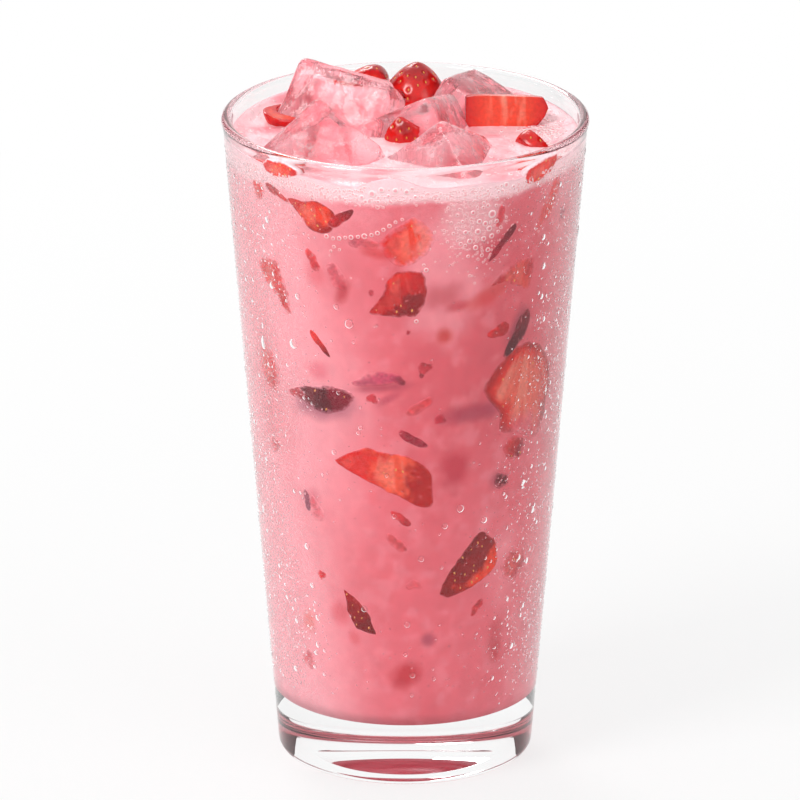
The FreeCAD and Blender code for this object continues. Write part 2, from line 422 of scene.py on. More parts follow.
def make_glass():
    """The tumbler turned from its section, with the fog of fine droplets as an attribute on its outside."""
    profile = glass_profile()
    azimuths = np.linspace(0, 360, 256, endpoint=False)
    points, faces = lathe(profile, azimuths)
    piece = mesh_object("tumbler", points, faces)
    r = np.hypot(points[:, 0], points[:, 1])
    z = points[:, 2]
    a = np.degrees(np.arctan2(points[:, 0], -points[:, 1]))
    outside = (r > outside_radius(z) - 0.3) & (z > HEEL_RADIUS)
    band = step(FLOOR + 1, FLOOR + 9, z + 2 * noise(points, 9, 3)) * step(GLASS_HEIGHT - 1.5, LEVEL - 2, z)
    # The left side is fogged a little more, and from nearer the front, than the right; the back hardly is
    uneven = np.abs(a) + 6 * noise(points, 12, 5)
    sides = np.where(a < 0, 0.17 * step(26, 60, uneven), 0.15 * step(42, 76, uneven)) + 0.01
    fog = outside * band * sides * (0.2 + 0.8 * step(132, 82, np.abs(a)))
    piece.data.attributes.new("fog", "FLOAT", "POINT").data.foreach_set("value", fog)
    piece.data.materials.append(glass_material())
    belongs(piece, "glass", "glass")


# ---------------------------------------------------------------- the drink and what is sunk in it

MILK = tone("#ec727f")
MILK_LIGHT = tone("#ffb0ba")
MILK_DEEP = tone("#d54e5b")
FROTH = tone("#fdd2d8")
# Painted shade on the drink's floor
DRINK_FLOOR_SHADE = tone("#d8384e")

# Soft stains in the milk, from pieces that lie deep or from the juice round nearer ones:
# (azimuth, height, half width, half height, turn in degrees, colour, strength)
STAINS = [
    (26.0, 97.0, 9.5, 3.0, 4, "#a4304a", 0.75),
    (36.0, 98.5, 4.0, 3.6, 0, "#b04a62", 0.5),
    (-31.0, 98.5, 10.0, 4.6, 4, "#8a3f5c", 0.7),
    (-9.5, 104.5, 7.5, 1.6, 8, "#a02848", 0.65),
    (-6.5, 101.5, 4.5, 1.3, 32, "#b03050", 0.5),
    (19.2, 83.0, 4.2, 6.8, -4, "#c8384a", 0.95),
    (0.0, 29.5, 4.6, 3.4, 35, "#c8323e", 0.95),
    (14.0, 117.6, 2.4, 2.6, 0, "#cf3a36", 0.9),
    (-22.0, 128.5, 2.0, 3.6, -20, "#bf3440", 0.85),
    (-9.0, 139.0, 4.4, 1.5, -10, "#d83436", 0.7),
    (18.0, 125.0, 3.2, 1.5, 8, "#c83846", 0.75),
    (41.5, 37.0, 2.8, 6.2, -12, "#c8404c", 0.6),
    (42.5, 32.5, 2.0, 3.0, -15, "#c63440", 0.7),
    (-28.0, 44.5, 2.8, 3.6, 0, "#e0505c", 0.55),
    (-44.5, 40.5, 2.2, 3.2, 0, "#f08078", 0.75),
    (-22.0, 38.5, 1.7, 2.4, 30, "#e8606a", 0.6),
    (-33.0, 107.0, 3.6, 3.0, 0, "#e86878", 0.6),
    (-32.0, 132.0, 3.6, 3.2, 0, "#e8606c", 0.5),
    (9.5, 38.5, 2.2, 2.0, 0, "#a84860", 0.7),
    (-38.0, 73.5, 2.4, 3.0, 0, "#c84058", 0.4),
    (43.5, 117.0, 3.2, 5.6, -28, "#7c2840", 0.65),
    (38.0, 78.0, 2.6, 3.0, 30, "#8c3850", 0.6),
    (31.0, 139.0, 2.4, 6.4, -36, "#d04a5c", 0.5),
    (52.0, 144.0, 1.6, 4.6, -20, "#e0302c", 0.8),
    (33.0, 146.0, 1.0, 3.2, -6, "#d8303a", 0.7),
    (-12.5, 76.0, 1.6, 2.2, 0, "#f0707c", 0.6),
    (8.0, 63.0, 3.0, 3.0, 0, "#e87880", 0.3),
    (13.0, 127.6, 6.0, 4.6, 0, "#c8505c", 0.75),
    (30.0, 127.0, 7.5, 2.6, 24, "#d43a3a", 0.75),
    (120.0, 120.0, 5.0, 3.0, 20, "#c8384a", 0.8),
    (150.0, 84.0, 4.0, 6.0, -20, "#c8384a", 0.8),
    (-140.0, 96.0, 6.0, 3.0, -30, "#a8405a", 0.7),
    (-112.0, 62.0, 4.0, 5.0, 15, "#c8384a", 0.7),
    (175.0, 48.0, 5.0, 3.6, 30, "#d04048", 0.8),
    (100.0, 44.0, 3.6, 4.6, -15, "#c8384a", 0.7),
]


def foam_share(azimuth, height):
    """How much froth shows in the milk behind the wall: a band under the surface with an uneven lower edge,
    and a patch that hangs down at the front right."""
    around = on_wall(azimuth, np.full(np.shape(azimuth), LEVEL))
    edge = FOAM_BOTTOM + 1.0 * noise(around, 14, 11) + 0.4 * noise(around, 3.5, 12)
    band = step(edge - 0.9, edge + 1.5, height)
    patch = 1 - step(0.45, 1.15, np.hypot(arc_gap(azimuth, 23) / 13, (height - 147.5) / 8.5))
    return np.maximum(band, 0.5 * patch)


def milk_tint(azimuth, height):
    """Colour of the drink at places on the wall: pink, with painted light that makes it paler towards both
    sides and painted shade that darkens it towards the middle and the right, with froth at the top, cloudy
    mottling, and stains."""
    azimuth, height = np.broadcast_arrays(np.asarray(azimuth, float), np.asarray(height, float))
    place = on_wall(azimuth, height)
    cloud = rough(place * np.array([1, 1, 0.6]), 24, 4, 21)
    # Painted light: paler towards both sides, fuller pink at the front and back
    turn = np.cos(np.radians(azimuth - 24))
    colour = mix(MILK_LIGHT, MILK, step(0.35, 0.95, np.maximum(turn, -0.9 * turn)))
    # Painted shade: darker pink towards the front right above a height of about 50 mm, where the light of the
    # key lamp from the left falls off
    painted_shade_front_right = step(0.72, 1.0, np.cos(np.radians(azimuth - 26))) * step(50, 110, height)
    colour = mix(colour, MILK_DEEP, 0.6 * painted_shade_front_right)
    colour = mix(colour, MILK_LIGHT, 0.55 * step(0.0, 0.9, cloud))
    colour = mix(colour, MILK_DEEP, 0.35 * step(0.0, 0.9, -cloud))
    fine = rough(place, 3.4, 3, 25)
    colour = mix(colour, MILK_LIGHT, 0.22 * step(-0.2, 1.0, fine))
    for a, z, wide, high, turn, hexcode, strength in STAINS:
        x = np.radians(arc_gap(azimuth, a)) * bore_radius(height)
        y = height - z
        c, s = math.cos(math.radians(turn)), math.sin(math.radians(turn))
        u = (x * c + y * s) / wide
        v = (y * c - x * s) / high
        wobble = 0.18 * noise(place, 2.6, 31)
        colour = mix(colour, tone(hexcode), strength * (1 - step(0.25, 1.25, np.hypot(u, v) + wobble)))
    return mix(colour, FROTH, foam_share(azimuth, height))


# Azimuths round the drink, closer together over the front, where most of its detail lies
DRINK_AZIMUTHS = np.concatenate([run(-105, 105, 320), run(105, 255, 120)])


def make_drink():
    """The drink below its froth: what fills the bore, turned, and reaching just into the glass."""
    floor = FLOOR - DRINK_PROUD
    top = FROTH_FOOT
    inner = (bore_radius(floor) + DRINK_PROUD, floor)
    upper = (bore_radius(GLASS_HEIGHT) + DRINK_PROUD, GLASS_HEIGHT)
    corner = bend((0, floor), inner, upper, FLOOR_CORNER, 14)
    wall_top = (bore_radius(top) + DRINK_PROUD, top)
    profile = np.concatenate([
        run((0, floor), corner[0], 26),
        corner,
        run(corner[-1], wall_top, 168)[1:],
        [(wall_top[0], top - 0.03), wall_top, (wall_top[0] - 0.03, top)],
        np.linspace(wall_top, (0, top), 6)[1:],
    ])
    points, faces = lathe(profile, DRINK_AZIMUTHS)
    a = np.degrees(np.arctan2(points[:, 0], -points[:, 1]))
    colours = milk_tint(a, np.clip(points[:, 2], FLOOR, None))
    # Painted shade: the drink's floor near the middle is deep red in streaks, for the shade under the drink
    # that shows through the base
    reach = np.hypot(points[:, 0], points[:, 1])
    streak = rough(points * np.array([0.25, 1, 1]), 2.6, 2, 33)
    painted_floor_shade = step(27, 18, reach) * step(FLOOR + 0.5, FLOOR, points[:, 2]) * (0.72 + 0.5 * streak)
    colours = mix(colours, DRINK_FLOOR_SHADE, np.clip(painted_floor_shade, 0, 1))
    piece = mesh_object("drink_body", points, faces, colours)
    piece.data.materials.append(drink_material("strawberry milk behind glass", 0.0, 260.0, 0.0))
    belongs(piece, "drink", "drink")


def triangles_of(name):
    """The triangles of a CAD node, in mm, as an array of corners."""
    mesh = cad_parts[name].data
    mesh.calc_loop_triangles()
    points = np.zeros(len(mesh.vertices) * 3)
    mesh.vertices.foreach_get("co", points)
    corners = np.zeros(len(mesh.loop_triangles) * 3, np.int32)
    mesh.loop_triangles.foreach_get("vertices", corners)
    return (points.reshape(-1, 3) / MM)[corners.reshape(-1, 3)]


def column_through(triangles, x, y):
    """Lowest and highest height at which vertical lines through (x, y) meet a set of triangles, or NaN.
    Each line is tested against each triangle by its three edge functions seen from above."""
    low, high = np.full(np.shape(x), np.nan), np.full(np.shape(x), np.nan)
    corner_low, corner_high = triangles.min((0, 1)), triangles.max((0, 1))
    over = (x > corner_low[0]) & (x < corner_high[0]) & (y > corner_low[1]) & (y < corner_high[1])
    x, y = x[over], y[over]
    a, b, c = (triangles[:, k, :][:, None, :] for k in range(3))
    ab, ac = b - a, c - a
    area = ab[..., 0] * ac[..., 1] - ab[..., 1] * ac[..., 0]
    area = np.where(np.abs(area) < 1e-9, np.nan, area)
    u = ((b[..., 0] - x) * (c[..., 1] - y) - (b[..., 1] - y) * (c[..., 0] - x)) / area
    v = ((c[..., 0] - x) * (a[..., 1] - y) - (c[..., 1] - y) * (a[..., 0] - x)) / area
    w = 1 - u - v
    inside = (u >= -1e-6) & (v >= -1e-6) & (w >= -1e-6)
    z = np.where(inside, u * a[..., 2] + v * b[..., 2] + w * c[..., 2], np.nan)
    hit = inside.any(0)
    low[over] = np.where(hit, np.nanmin(np.where(inside, z, np.inf), 0), np.nan)
    high[over] = np.where(hit, np.nanmax(np.where(inside, z, -np.inf), 0), np.nan)
    return low, high


# The froth's edge against the wall: azimuth, height above the level
FROTH_EDGE = np.array([
    (-180, 0.3), (-140, 0.9), (-105, 0.2), (-70, 0.6), (-45, 0.0), (-33, -0.2), (-22, -1.0), (-16, -1.1),
    (-10.5, 0.8), (-4.6, 1.9), (0, 1.2), (5.6, -0.8), (11.6, -1.3), (19, -1.0), (26.7, -1.0), (38.6, -1.6),
    (52, -0.4), (75, 0.5), (110, 0.1), (145, 0.8), (180, 0.3),
])


def froth_edge(azimuth):
    """Height of the froth's edge above the level round the wall, smoothed between the given places."""
    azimuth = (np.asarray(azimuth, float) + 180) % 360 - 180
    spread = np.linspace(-2.4, 2.4, 7)
    return np.mean([np.interp(azimuth + k, *FROTH_EDGE.T, period=360) for k in spread], axis=0)


def froth_height(x, y):
    """Height of the froth away from the ice: its relief, and its climb where it meets the wall."""
    r = np.hypot(x, y)
    flat = np.stack([x, y, np.full(x.shape, LEVEL)], -1)
    relief = 0.16 * rough(flat, 5, 4, 41) + 0.06 * noise(flat, 0.7, 47)
    climb = MENISCUS_RISE + froth_edge(np.degrees(np.arctan2(x, -y)))
    rise = climb * step(bore_radius(LEVEL) - 3.4, bore_radius(LEVEL), r)
    return LEVEL - 0.05 + rise + relief * step(0.0, 2.0, bore_radius(LEVEL) - r)


def froth_top(ice_triangles, share, a):
    """Points of the froth's upper side: rings at shares of the bore, with a pit under each ice cube."""
    r = share * (bore_radius(LEVEL + MENISCUS_RISE) + DRINK_PROUD)
    x, y = r * np.sin(a), -r * np.cos(a)
    z = froth_height(x, y)
    r = np.where(share == 1.0, bore_radius(z) + DRINK_PROUD, r)
    x, y = r * np.sin(a), -r * np.cos(a)
    for triangles in ice_triangles:
        low, high = column_through(triangles, x, y)
        pit = (high > LEVEL + 0.4) & (low < LEVEL - 0.8)
        z = np.where(pit, np.minimum(z, np.maximum(low + 0.35, LEVEL - 13.5)), z)
    return np.stack([x, y, z], -1)


def froth_tint(rows, a, wet):
    """Colours of the froth's rows of points: mottled on top, as the milk at the wall with a darker line where
    it ends, and a darker pink of painted shade in the pits under the ice. Wet is the share of the bore on top
    and 2 below it."""
    around = np.degrees(np.broadcast_to(a, rows.shape[:2]))
    line = LEVEL + MENISCUS_RISE + froth_edge(around) - rows[..., 2]
    at_wall = mix(milk_tint(around, rows[..., 2]), tone("#c06a78"), 0.55 * step(0.34, 0.0, line))
    surface = mix(tone("#ffd0d6"), tone("#f58e9a"), step(-0.5, 1.1, rough(rows, 9, 4, 51)))
    colours = mix(surface, at_wall, step(0.975, 1.0, wet))
    # Painted shade: the milk low in the pits under the ice is darker pink, for the shade of those hollows
    deep = step(LEVEL - 0.9, LEVEL - 5.0, rows[..., 2]) * (wet <= 1)
    return mix(colours, tone("#e8848e"), deep)


def make_froth(ice_triangles):
    """The drink's top: froth with its relief, pits where ice lies in it, and the rise against the wall. A
    closed disc whose lower side lies within the drink below."""
    a = np.radians(DRINK_AZIMUTHS)
    share = np.concatenate([np.linspace(0.012, 0.9, 118), np.linspace(0.905, 1.0, 22)])[:, None]
    top = froth_top(ice_triangles, share, a)
    down = np.concatenate([np.linspace(0, 1, 59)[1:-1], [0.998, 1.0]])[:, None]
    side_z = top[-1, :, 2] * (1 - down) + FROTH_FOOT * down
    side = round_z(bore_radius(side_z) + DRINK_PROUD, a, side_z)
    under_share = np.array([0.999, 0.85, 0.7, 0.5, 0.3, 0.15, 0.02])[:, None]
    under = round_z(under_share * (bore_radius(side_z[-1]) + DRINK_PROUD), a, FROTH_FOOT)
    rows = np.concatenate([top, side, under])
    wet = np.concatenate([share, np.full((len(rows) - len(share), 1), 2.0)])
    colours = froth_tint(rows, a, wet)
    colours = np.concatenate([colours.reshape(-1, 3), [colours[0, 0], colours[-1, 0]]])
    points = np.concatenate([rows.reshape(-1, 3), [[0, 0, top[0, :, 2].min()], [0, 0, FROTH_FOOT]]])
    count = len(a)
    faces = [
        grid_faces(len(rows), count)[:, ::-1],
        cap_faces(np.arange(count), len(points) - 2),
        cap_faces(np.arange(count) + (len(rows) - 1) * count, len(points) - 1, turned=True),
    ]
    piece = mesh_object("drink_froth", points, faces, colours)
    piece.data.materials.append(drink_material("strawberry milk froth", 0.35, 900.0, 0.0003))
    belongs(piece, "drink", "drink")


# ---------------------------------------------------------------- ice

def merged_copy(name, new_name):
    """A copy of a CAD node's mesh, its faces joined at their shared corners."""
    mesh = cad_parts[name].data.copy()
    mesh.name = new_name
    mesh.materials.clear()
    piece = bpy.data.objects.new(new_name, mesh)
    bpy.context.scene.collection.objects.link(piece)
    weld = piece.modifiers.new("weld", "WELD")
    weld.merge_threshold = 0.01 * MM
    return piece


def evened(piece, size):
    """Turns a piece's mesh into even faces of a size in mm, softened by two rounds of smoothing."""
    change = piece.modifiers.new("even", "REMESH")
    change.mode = "VOXEL"
    change.voxel_size = size * MM
    change.use_smooth_shade = True
    soften = piece.modifiers.new("soften", "SMOOTH")
    soften.factor = 0.5
    soften.iterations = 2
    depsgraph = bpy.context.evaluated_depsgraph_get()
    mesh = bpy.data.meshes.new_from_object(piece.evaluated_get(depsgraph))
    piece.modifiers.clear()
    old, piece.data = piece.data, mesh
    bpy.data.meshes.remove(old)
    return piece


def coordinates(piece):
    """A mesh's points in mm."""
    values = np.zeros(len(piece.data.vertices) * 3)
    piece.data.vertices.foreach_get("co", values)
    return values.reshape(-1, 3) / MM


def normals(piece):
    """A mesh's unit normals at its points."""
    values = np.zeros(len(piece.data.vertices) * 3)
    piece.data.vertex_normals.foreach_get("vector", values)
    return values.reshape(-1, 3)


def set_coordinates(piece, points):
    """Moves a mesh's points, given in mm."""
    piece.data.vertices.foreach_set("co", (np.asarray(points) * MM).ravel())
    piece.data.update()


def make_ice():
    """The ice cubes: the CAD's bodies evened out, softened and rippled as melting leaves them."""
    shared = ice_material()
    for number, name in enumerate(ICE_NODES):
        piece = evened(merged_copy(name, name + "_melting"), 0.55)
        p = coordinates(piece)
        # Melting dents the ice inward only, so that it stays clear of its neighbours
        swell = 0.30 * rough(p, 9, 2, 61 + number) + 0.10 * noise(p, 3.2, 71 + number)
        set_coordinates(piece, p + normals(piece) * (swell - 0.32)[:, None] * 0.9)
        piece.data.materials.append(shared)
        belongs(piece, "ice", name)


# ---------------------------------------------------------------- strawberries

SKIN = tone("#da120e")
SKIN_DARK = tone("#a8060e")
FLESH = tone("#e4261c")
FLESH_PALE = tone("#ee4e34")
FLESH_CORE = tone("#f69478")


def cad_islands(name):
    """Triangles of a CAD node, their normals, and a mark for each: True where it belongs to a flat face,
    which is a cut. Faces that share a corner of the mesh take the same number until nothing changes."""
    triangles = triangles_of(name)
    side = np.cross(triangles[:, 1] - triangles[:, 0], triangles[:, 2] - triangles[:, 0])
    side /= np.maximum(np.linalg.norm(side, axis=1, keepdims=True), 1e-12)
    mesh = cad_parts[name].data
    corners = np.zeros(len(mesh.loop_triangles) * 3, np.int32)
    mesh.loop_triangles.foreach_get("vertices", corners)
    corners = corners.reshape(-1, 3)
    label = np.arange(len(mesh.vertices))
    for _ in range(200):   # each round spreads the lowest number over one more ring of faces
        low = label[corners].min(1)
        before = label.copy()
        np.minimum.at(label, corners.ravel(), np.repeat(low, 3))
        if (before == label).all():
            break
    island = label[corners[:, 0]]
    flat = np.zeros(len(triangles), bool)
    for mark in np.unique(island):
        mine = island == mark
        flat[mine] = (side[mine] @ side[mine].mean(0) > 0.999 * np.linalg.norm(side[mine].mean(0))).all()
    return triangles, side, flat


def nearest_distance(points, others):
    """Distance from each point to the nearest of others, worked out in blocks."""
    best = np.empty(len(points))
    for start in range(0, len(points), 2000):
        block = points[start:start + 2000]
        best[start:start + 2000] = np.sqrt(((block[:, None] - others[None]) ** 2).sum(-1).min(1))
    return best


def spread_over(triangles, count, generator):
    """Points spread evenly by area over triangles, and the triangle that each lies on."""
    first, second = triangles[:, 1] - triangles[:, 0], triangles[:, 2] - triangles[:, 0]
    area = np.linalg.norm(np.cross(first, second), axis=1)
    pick = generator.choice(len(triangles), count, p=area / area.sum())
    u, v = generator.random((2, count, 1))
    over = u + v > 1
    u, v = np.where(over, 1 - u, u), np.where(over, 1 - v, v)
    return triangles[pick, 0] + u * first[pick] + v * second[pick], pick


def seed_shape():
    """A strawberry seed: a drop-shaped grain 1.5 long, 0.9 wide and 0.5 high, as a closed grid."""
    rows, columns = 7, 10
    v = np.linspace(0, np.pi, rows + 2)[1:-1, None]
    u = np.linspace(0, 2 * np.pi, columns, endpoint=False)
    width = np.sin(v) * (1 - 0.25 * np.cos(v))
    body = np.stack(
        [0.75 * np.cos(v) + 0 * u, 0.45 * width * np.cos(u), 0.25 * width * np.sin(u)], -1
    ).reshape(-1, 3)
    points = np.concatenate([body, [[0.75, 0, 0], [-0.75, 0, 0]]])
    return points, np.concatenate([
        halves(grid_faces(rows, columns)[:, ::-1]),
        cap_faces(np.arange(columns), len(points) - 2),
        cap_faces(np.arange(columns) + (rows - 1) * columns, len(points) - 1, turned=True),
    ])


def repeated(faces, count, points_each):
    """The faces of one shape, numbered for as many copies of it."""
    return (faces[None] + (np.arange(count) * points_each)[:, None, None]).reshape(-1, faces.shape[1])


def copies(shape, faces, places, frames, sizes):
    """Copies of a shape as arrays: each scaled, turned by its own axes and moved to its place."""
    body = shape[None] * sizes[:, None, None]
    points = np.einsum("nki,nij->nkj", body, frames) + places[:, None]
    return points.reshape(-1, 3), repeated(faces, len(places), len(shape))


def axes_along(normal, along):
    """Rows of unit axes: x along a direction made square to the normal, y to its side, z the normal."""
    along = along - (along * normal).sum(-1, keepdims=True) * normal
    along = along / np.maximum(np.linalg.norm(along, axis=-1, keepdims=True), 1e-9)
    return np.stack([along, np.cross(normal, along), normal], -2)


def flesh_tint(p, centre, longest, to_skin, number):
    """Colours of a cut: bright red, paler inward to a salmon core, with streaks that fan out from its centre
    and a dark line under the skin. Also gives the streaks."""
    away = p - centre
    reach = np.linalg.norm(away, axis=1)
    direction = away / np.maximum(reach, 1e-6)[:, None]
    streak = noise(direction * 7.0, 1.0, 81 + number) * 0.6 + 0.4 * noise(direction * 15.0, 1.0, 91 + number)
    inner = reach / longest
    colour = mix(FLESH, FLESH_PALE, step(0.95, 0.25, inner + 0.22 * streak))
    colour = mix(colour, FLESH_CORE, 0.7 * step(0.35, 0.05, inner + 0.1 * streak))
    colour = mix(colour, FLESH_CORE, 0.6 * step(0.2, 0.6, streak) * step(0.6, 2.0, to_skin))
    return mix(tone("#d01018"), colour, step(0.3, 2.2, to_skin + 0.5 * streak)), streak


def lengthwise_tint(p, along, to_skin, streak):
    """Colours of a cut along the berry: pale fibres across its middle, redder towards both ends."""
    fibre = noise(np.stack([p[:, 0] + 0.1 * p[:, 2], 0.02 * p[:, 2], 0 * p[:, 1]], -1), 1.1, 121)
    fibre = 0.7 * fibre + 0.5 * rough(p * np.array([1, 0.3, 0.25]), 0.8, 2, 123)
    colour = mix(tone("#d81c10"), tone("#ee4226"), step(-0.75, -0.1, along) * step(1.0, 0.5, along))
    pale = step(-0.35, 0.05, along) * step(0.75, 0.35, along)
    colour = mix(colour, tone("#f9a88e"), 0.7 * pale * step(-0.3, 0.8, fibre))
    colour = mix(tone("#b80410"), colour, step(-0.9, -0.4, along + 0.08 * streak))
    return mix(tone("#cc0c10"), colour, step(0.3, 1.8, to_skin + 0.6 * fibre))


def seed_spots(skin, facing, flesh_points, generator):
    """Places for seeds in a loose lattice over the skin, at least 2.1 mm apart and 0.7 mm from a cut, and the
    way that the skin faces at each."""
    spots, picks = spread_over(skin, 600, generator)
    kept = []
    for i in range(len(spots)):
        if all(np.linalg.norm(spots[i] - spots[k]) > 2.1 for k in kept):
            kept.append(i)
    kept = [k for k in kept if nearest_distance(spots[k:k + 1], flesh_points)[0] > 0.7]
    return spots[kept], facing[picks[kept]]


def make_fruit():
    """The cut strawberry pieces at the surface: skin with seeds in dimples, and pale streaked flesh."""
    shared = berry_material("wet cut strawberry", 0.55)
    seeds_material = seed_material()
    generator = np.random.default_rng(7)
    seed_points, seed_faces = seed_shape()
    for number, name in enumerate(FRUIT_NODES):
        triangles, side, flat = cad_islands(name)
        piece = evened(merged_copy(name, name + "_cut"), 0.24)
        p, n = coordinates(piece), normals(piece)
        is_cut = flat if flat.any() else ~flat
        is_rind = ~flat if (~flat).any() else flat
        skin_points, _ = spread_over(triangles[is_rind], 900, generator)
        flesh_points, _ = spread_over(triangles[is_cut], 1600, generator)
        to_skin = nearest_distance(p, skin_points)
        centre = flesh_points.mean(0)
        longest = np.percentile(np.linalg.norm(p - centre, axis=1), 97)
        colours, streak = flesh_tint(p, centre, longest, to_skin, number)
        along = (p[:, 0] - centre[0]) / longest
        if name == "berry_slice":
            colours = lengthwise_tint(p, along, to_skin, streak)
        skin_colour = mix(SKIN, SKIN_DARK, step(-0.4, 0.8, rough(p, 4, 2, 101 + number)))
        is_skin = step(0.1, -0.1, to_skin - nearest_distance(p, flesh_points))
        colours = mix(colours, skin_colour, is_skin)
        shift = (0.05 * rough(p, 1.4, 2, 111 + number) - 0.05) * (1 - is_skin)
        spots, facing = seed_spots(triangles[is_rind], side[is_rind], flesh_points, generator)
        if len(spots):
            near = nearest_distance(p, spots)
            shift -= 0.22 * np.exp(-(near / 0.62) ** 2)
            # Painted shade: the skin is darker round each seed, in the dimple that the seed sits in
            colours = mix(colours, SKIN_DARK, 0.4 * is_skin * np.exp(-(near / 0.7) ** 2))
            tip = centre + np.array([0, 0, -12.0])
            frames = axes_along(facing, spots - tip)
            points, faces = copies(
                seed_points * 0.45, seed_faces, spots - facing * 0.16, frames, np.ones(len(spots))
            )
            grains = mesh_object(name + "_seeds", points, [faces])
            grains.data.materials.append(seeds_material)
            belongs(grains, "strawberry")
        if name == "berry_slice":
            # Its left end is round, as the shoulder of a berry is
            bow = 1 - 0.6 * np.clip(-along, 0, 1) ** 4
            p[:, 2] = centre[2] + (p[:, 2] - centre[2]) * bow
        set_coordinates(piece, p + n * shift[:, None])
        set_tint(piece.data, colours)
        piece.data.materials.append(shared)
        belongs(piece, "strawberry", name)


# ---------------------------------------------------------------- strawberry pieces seen through the wall

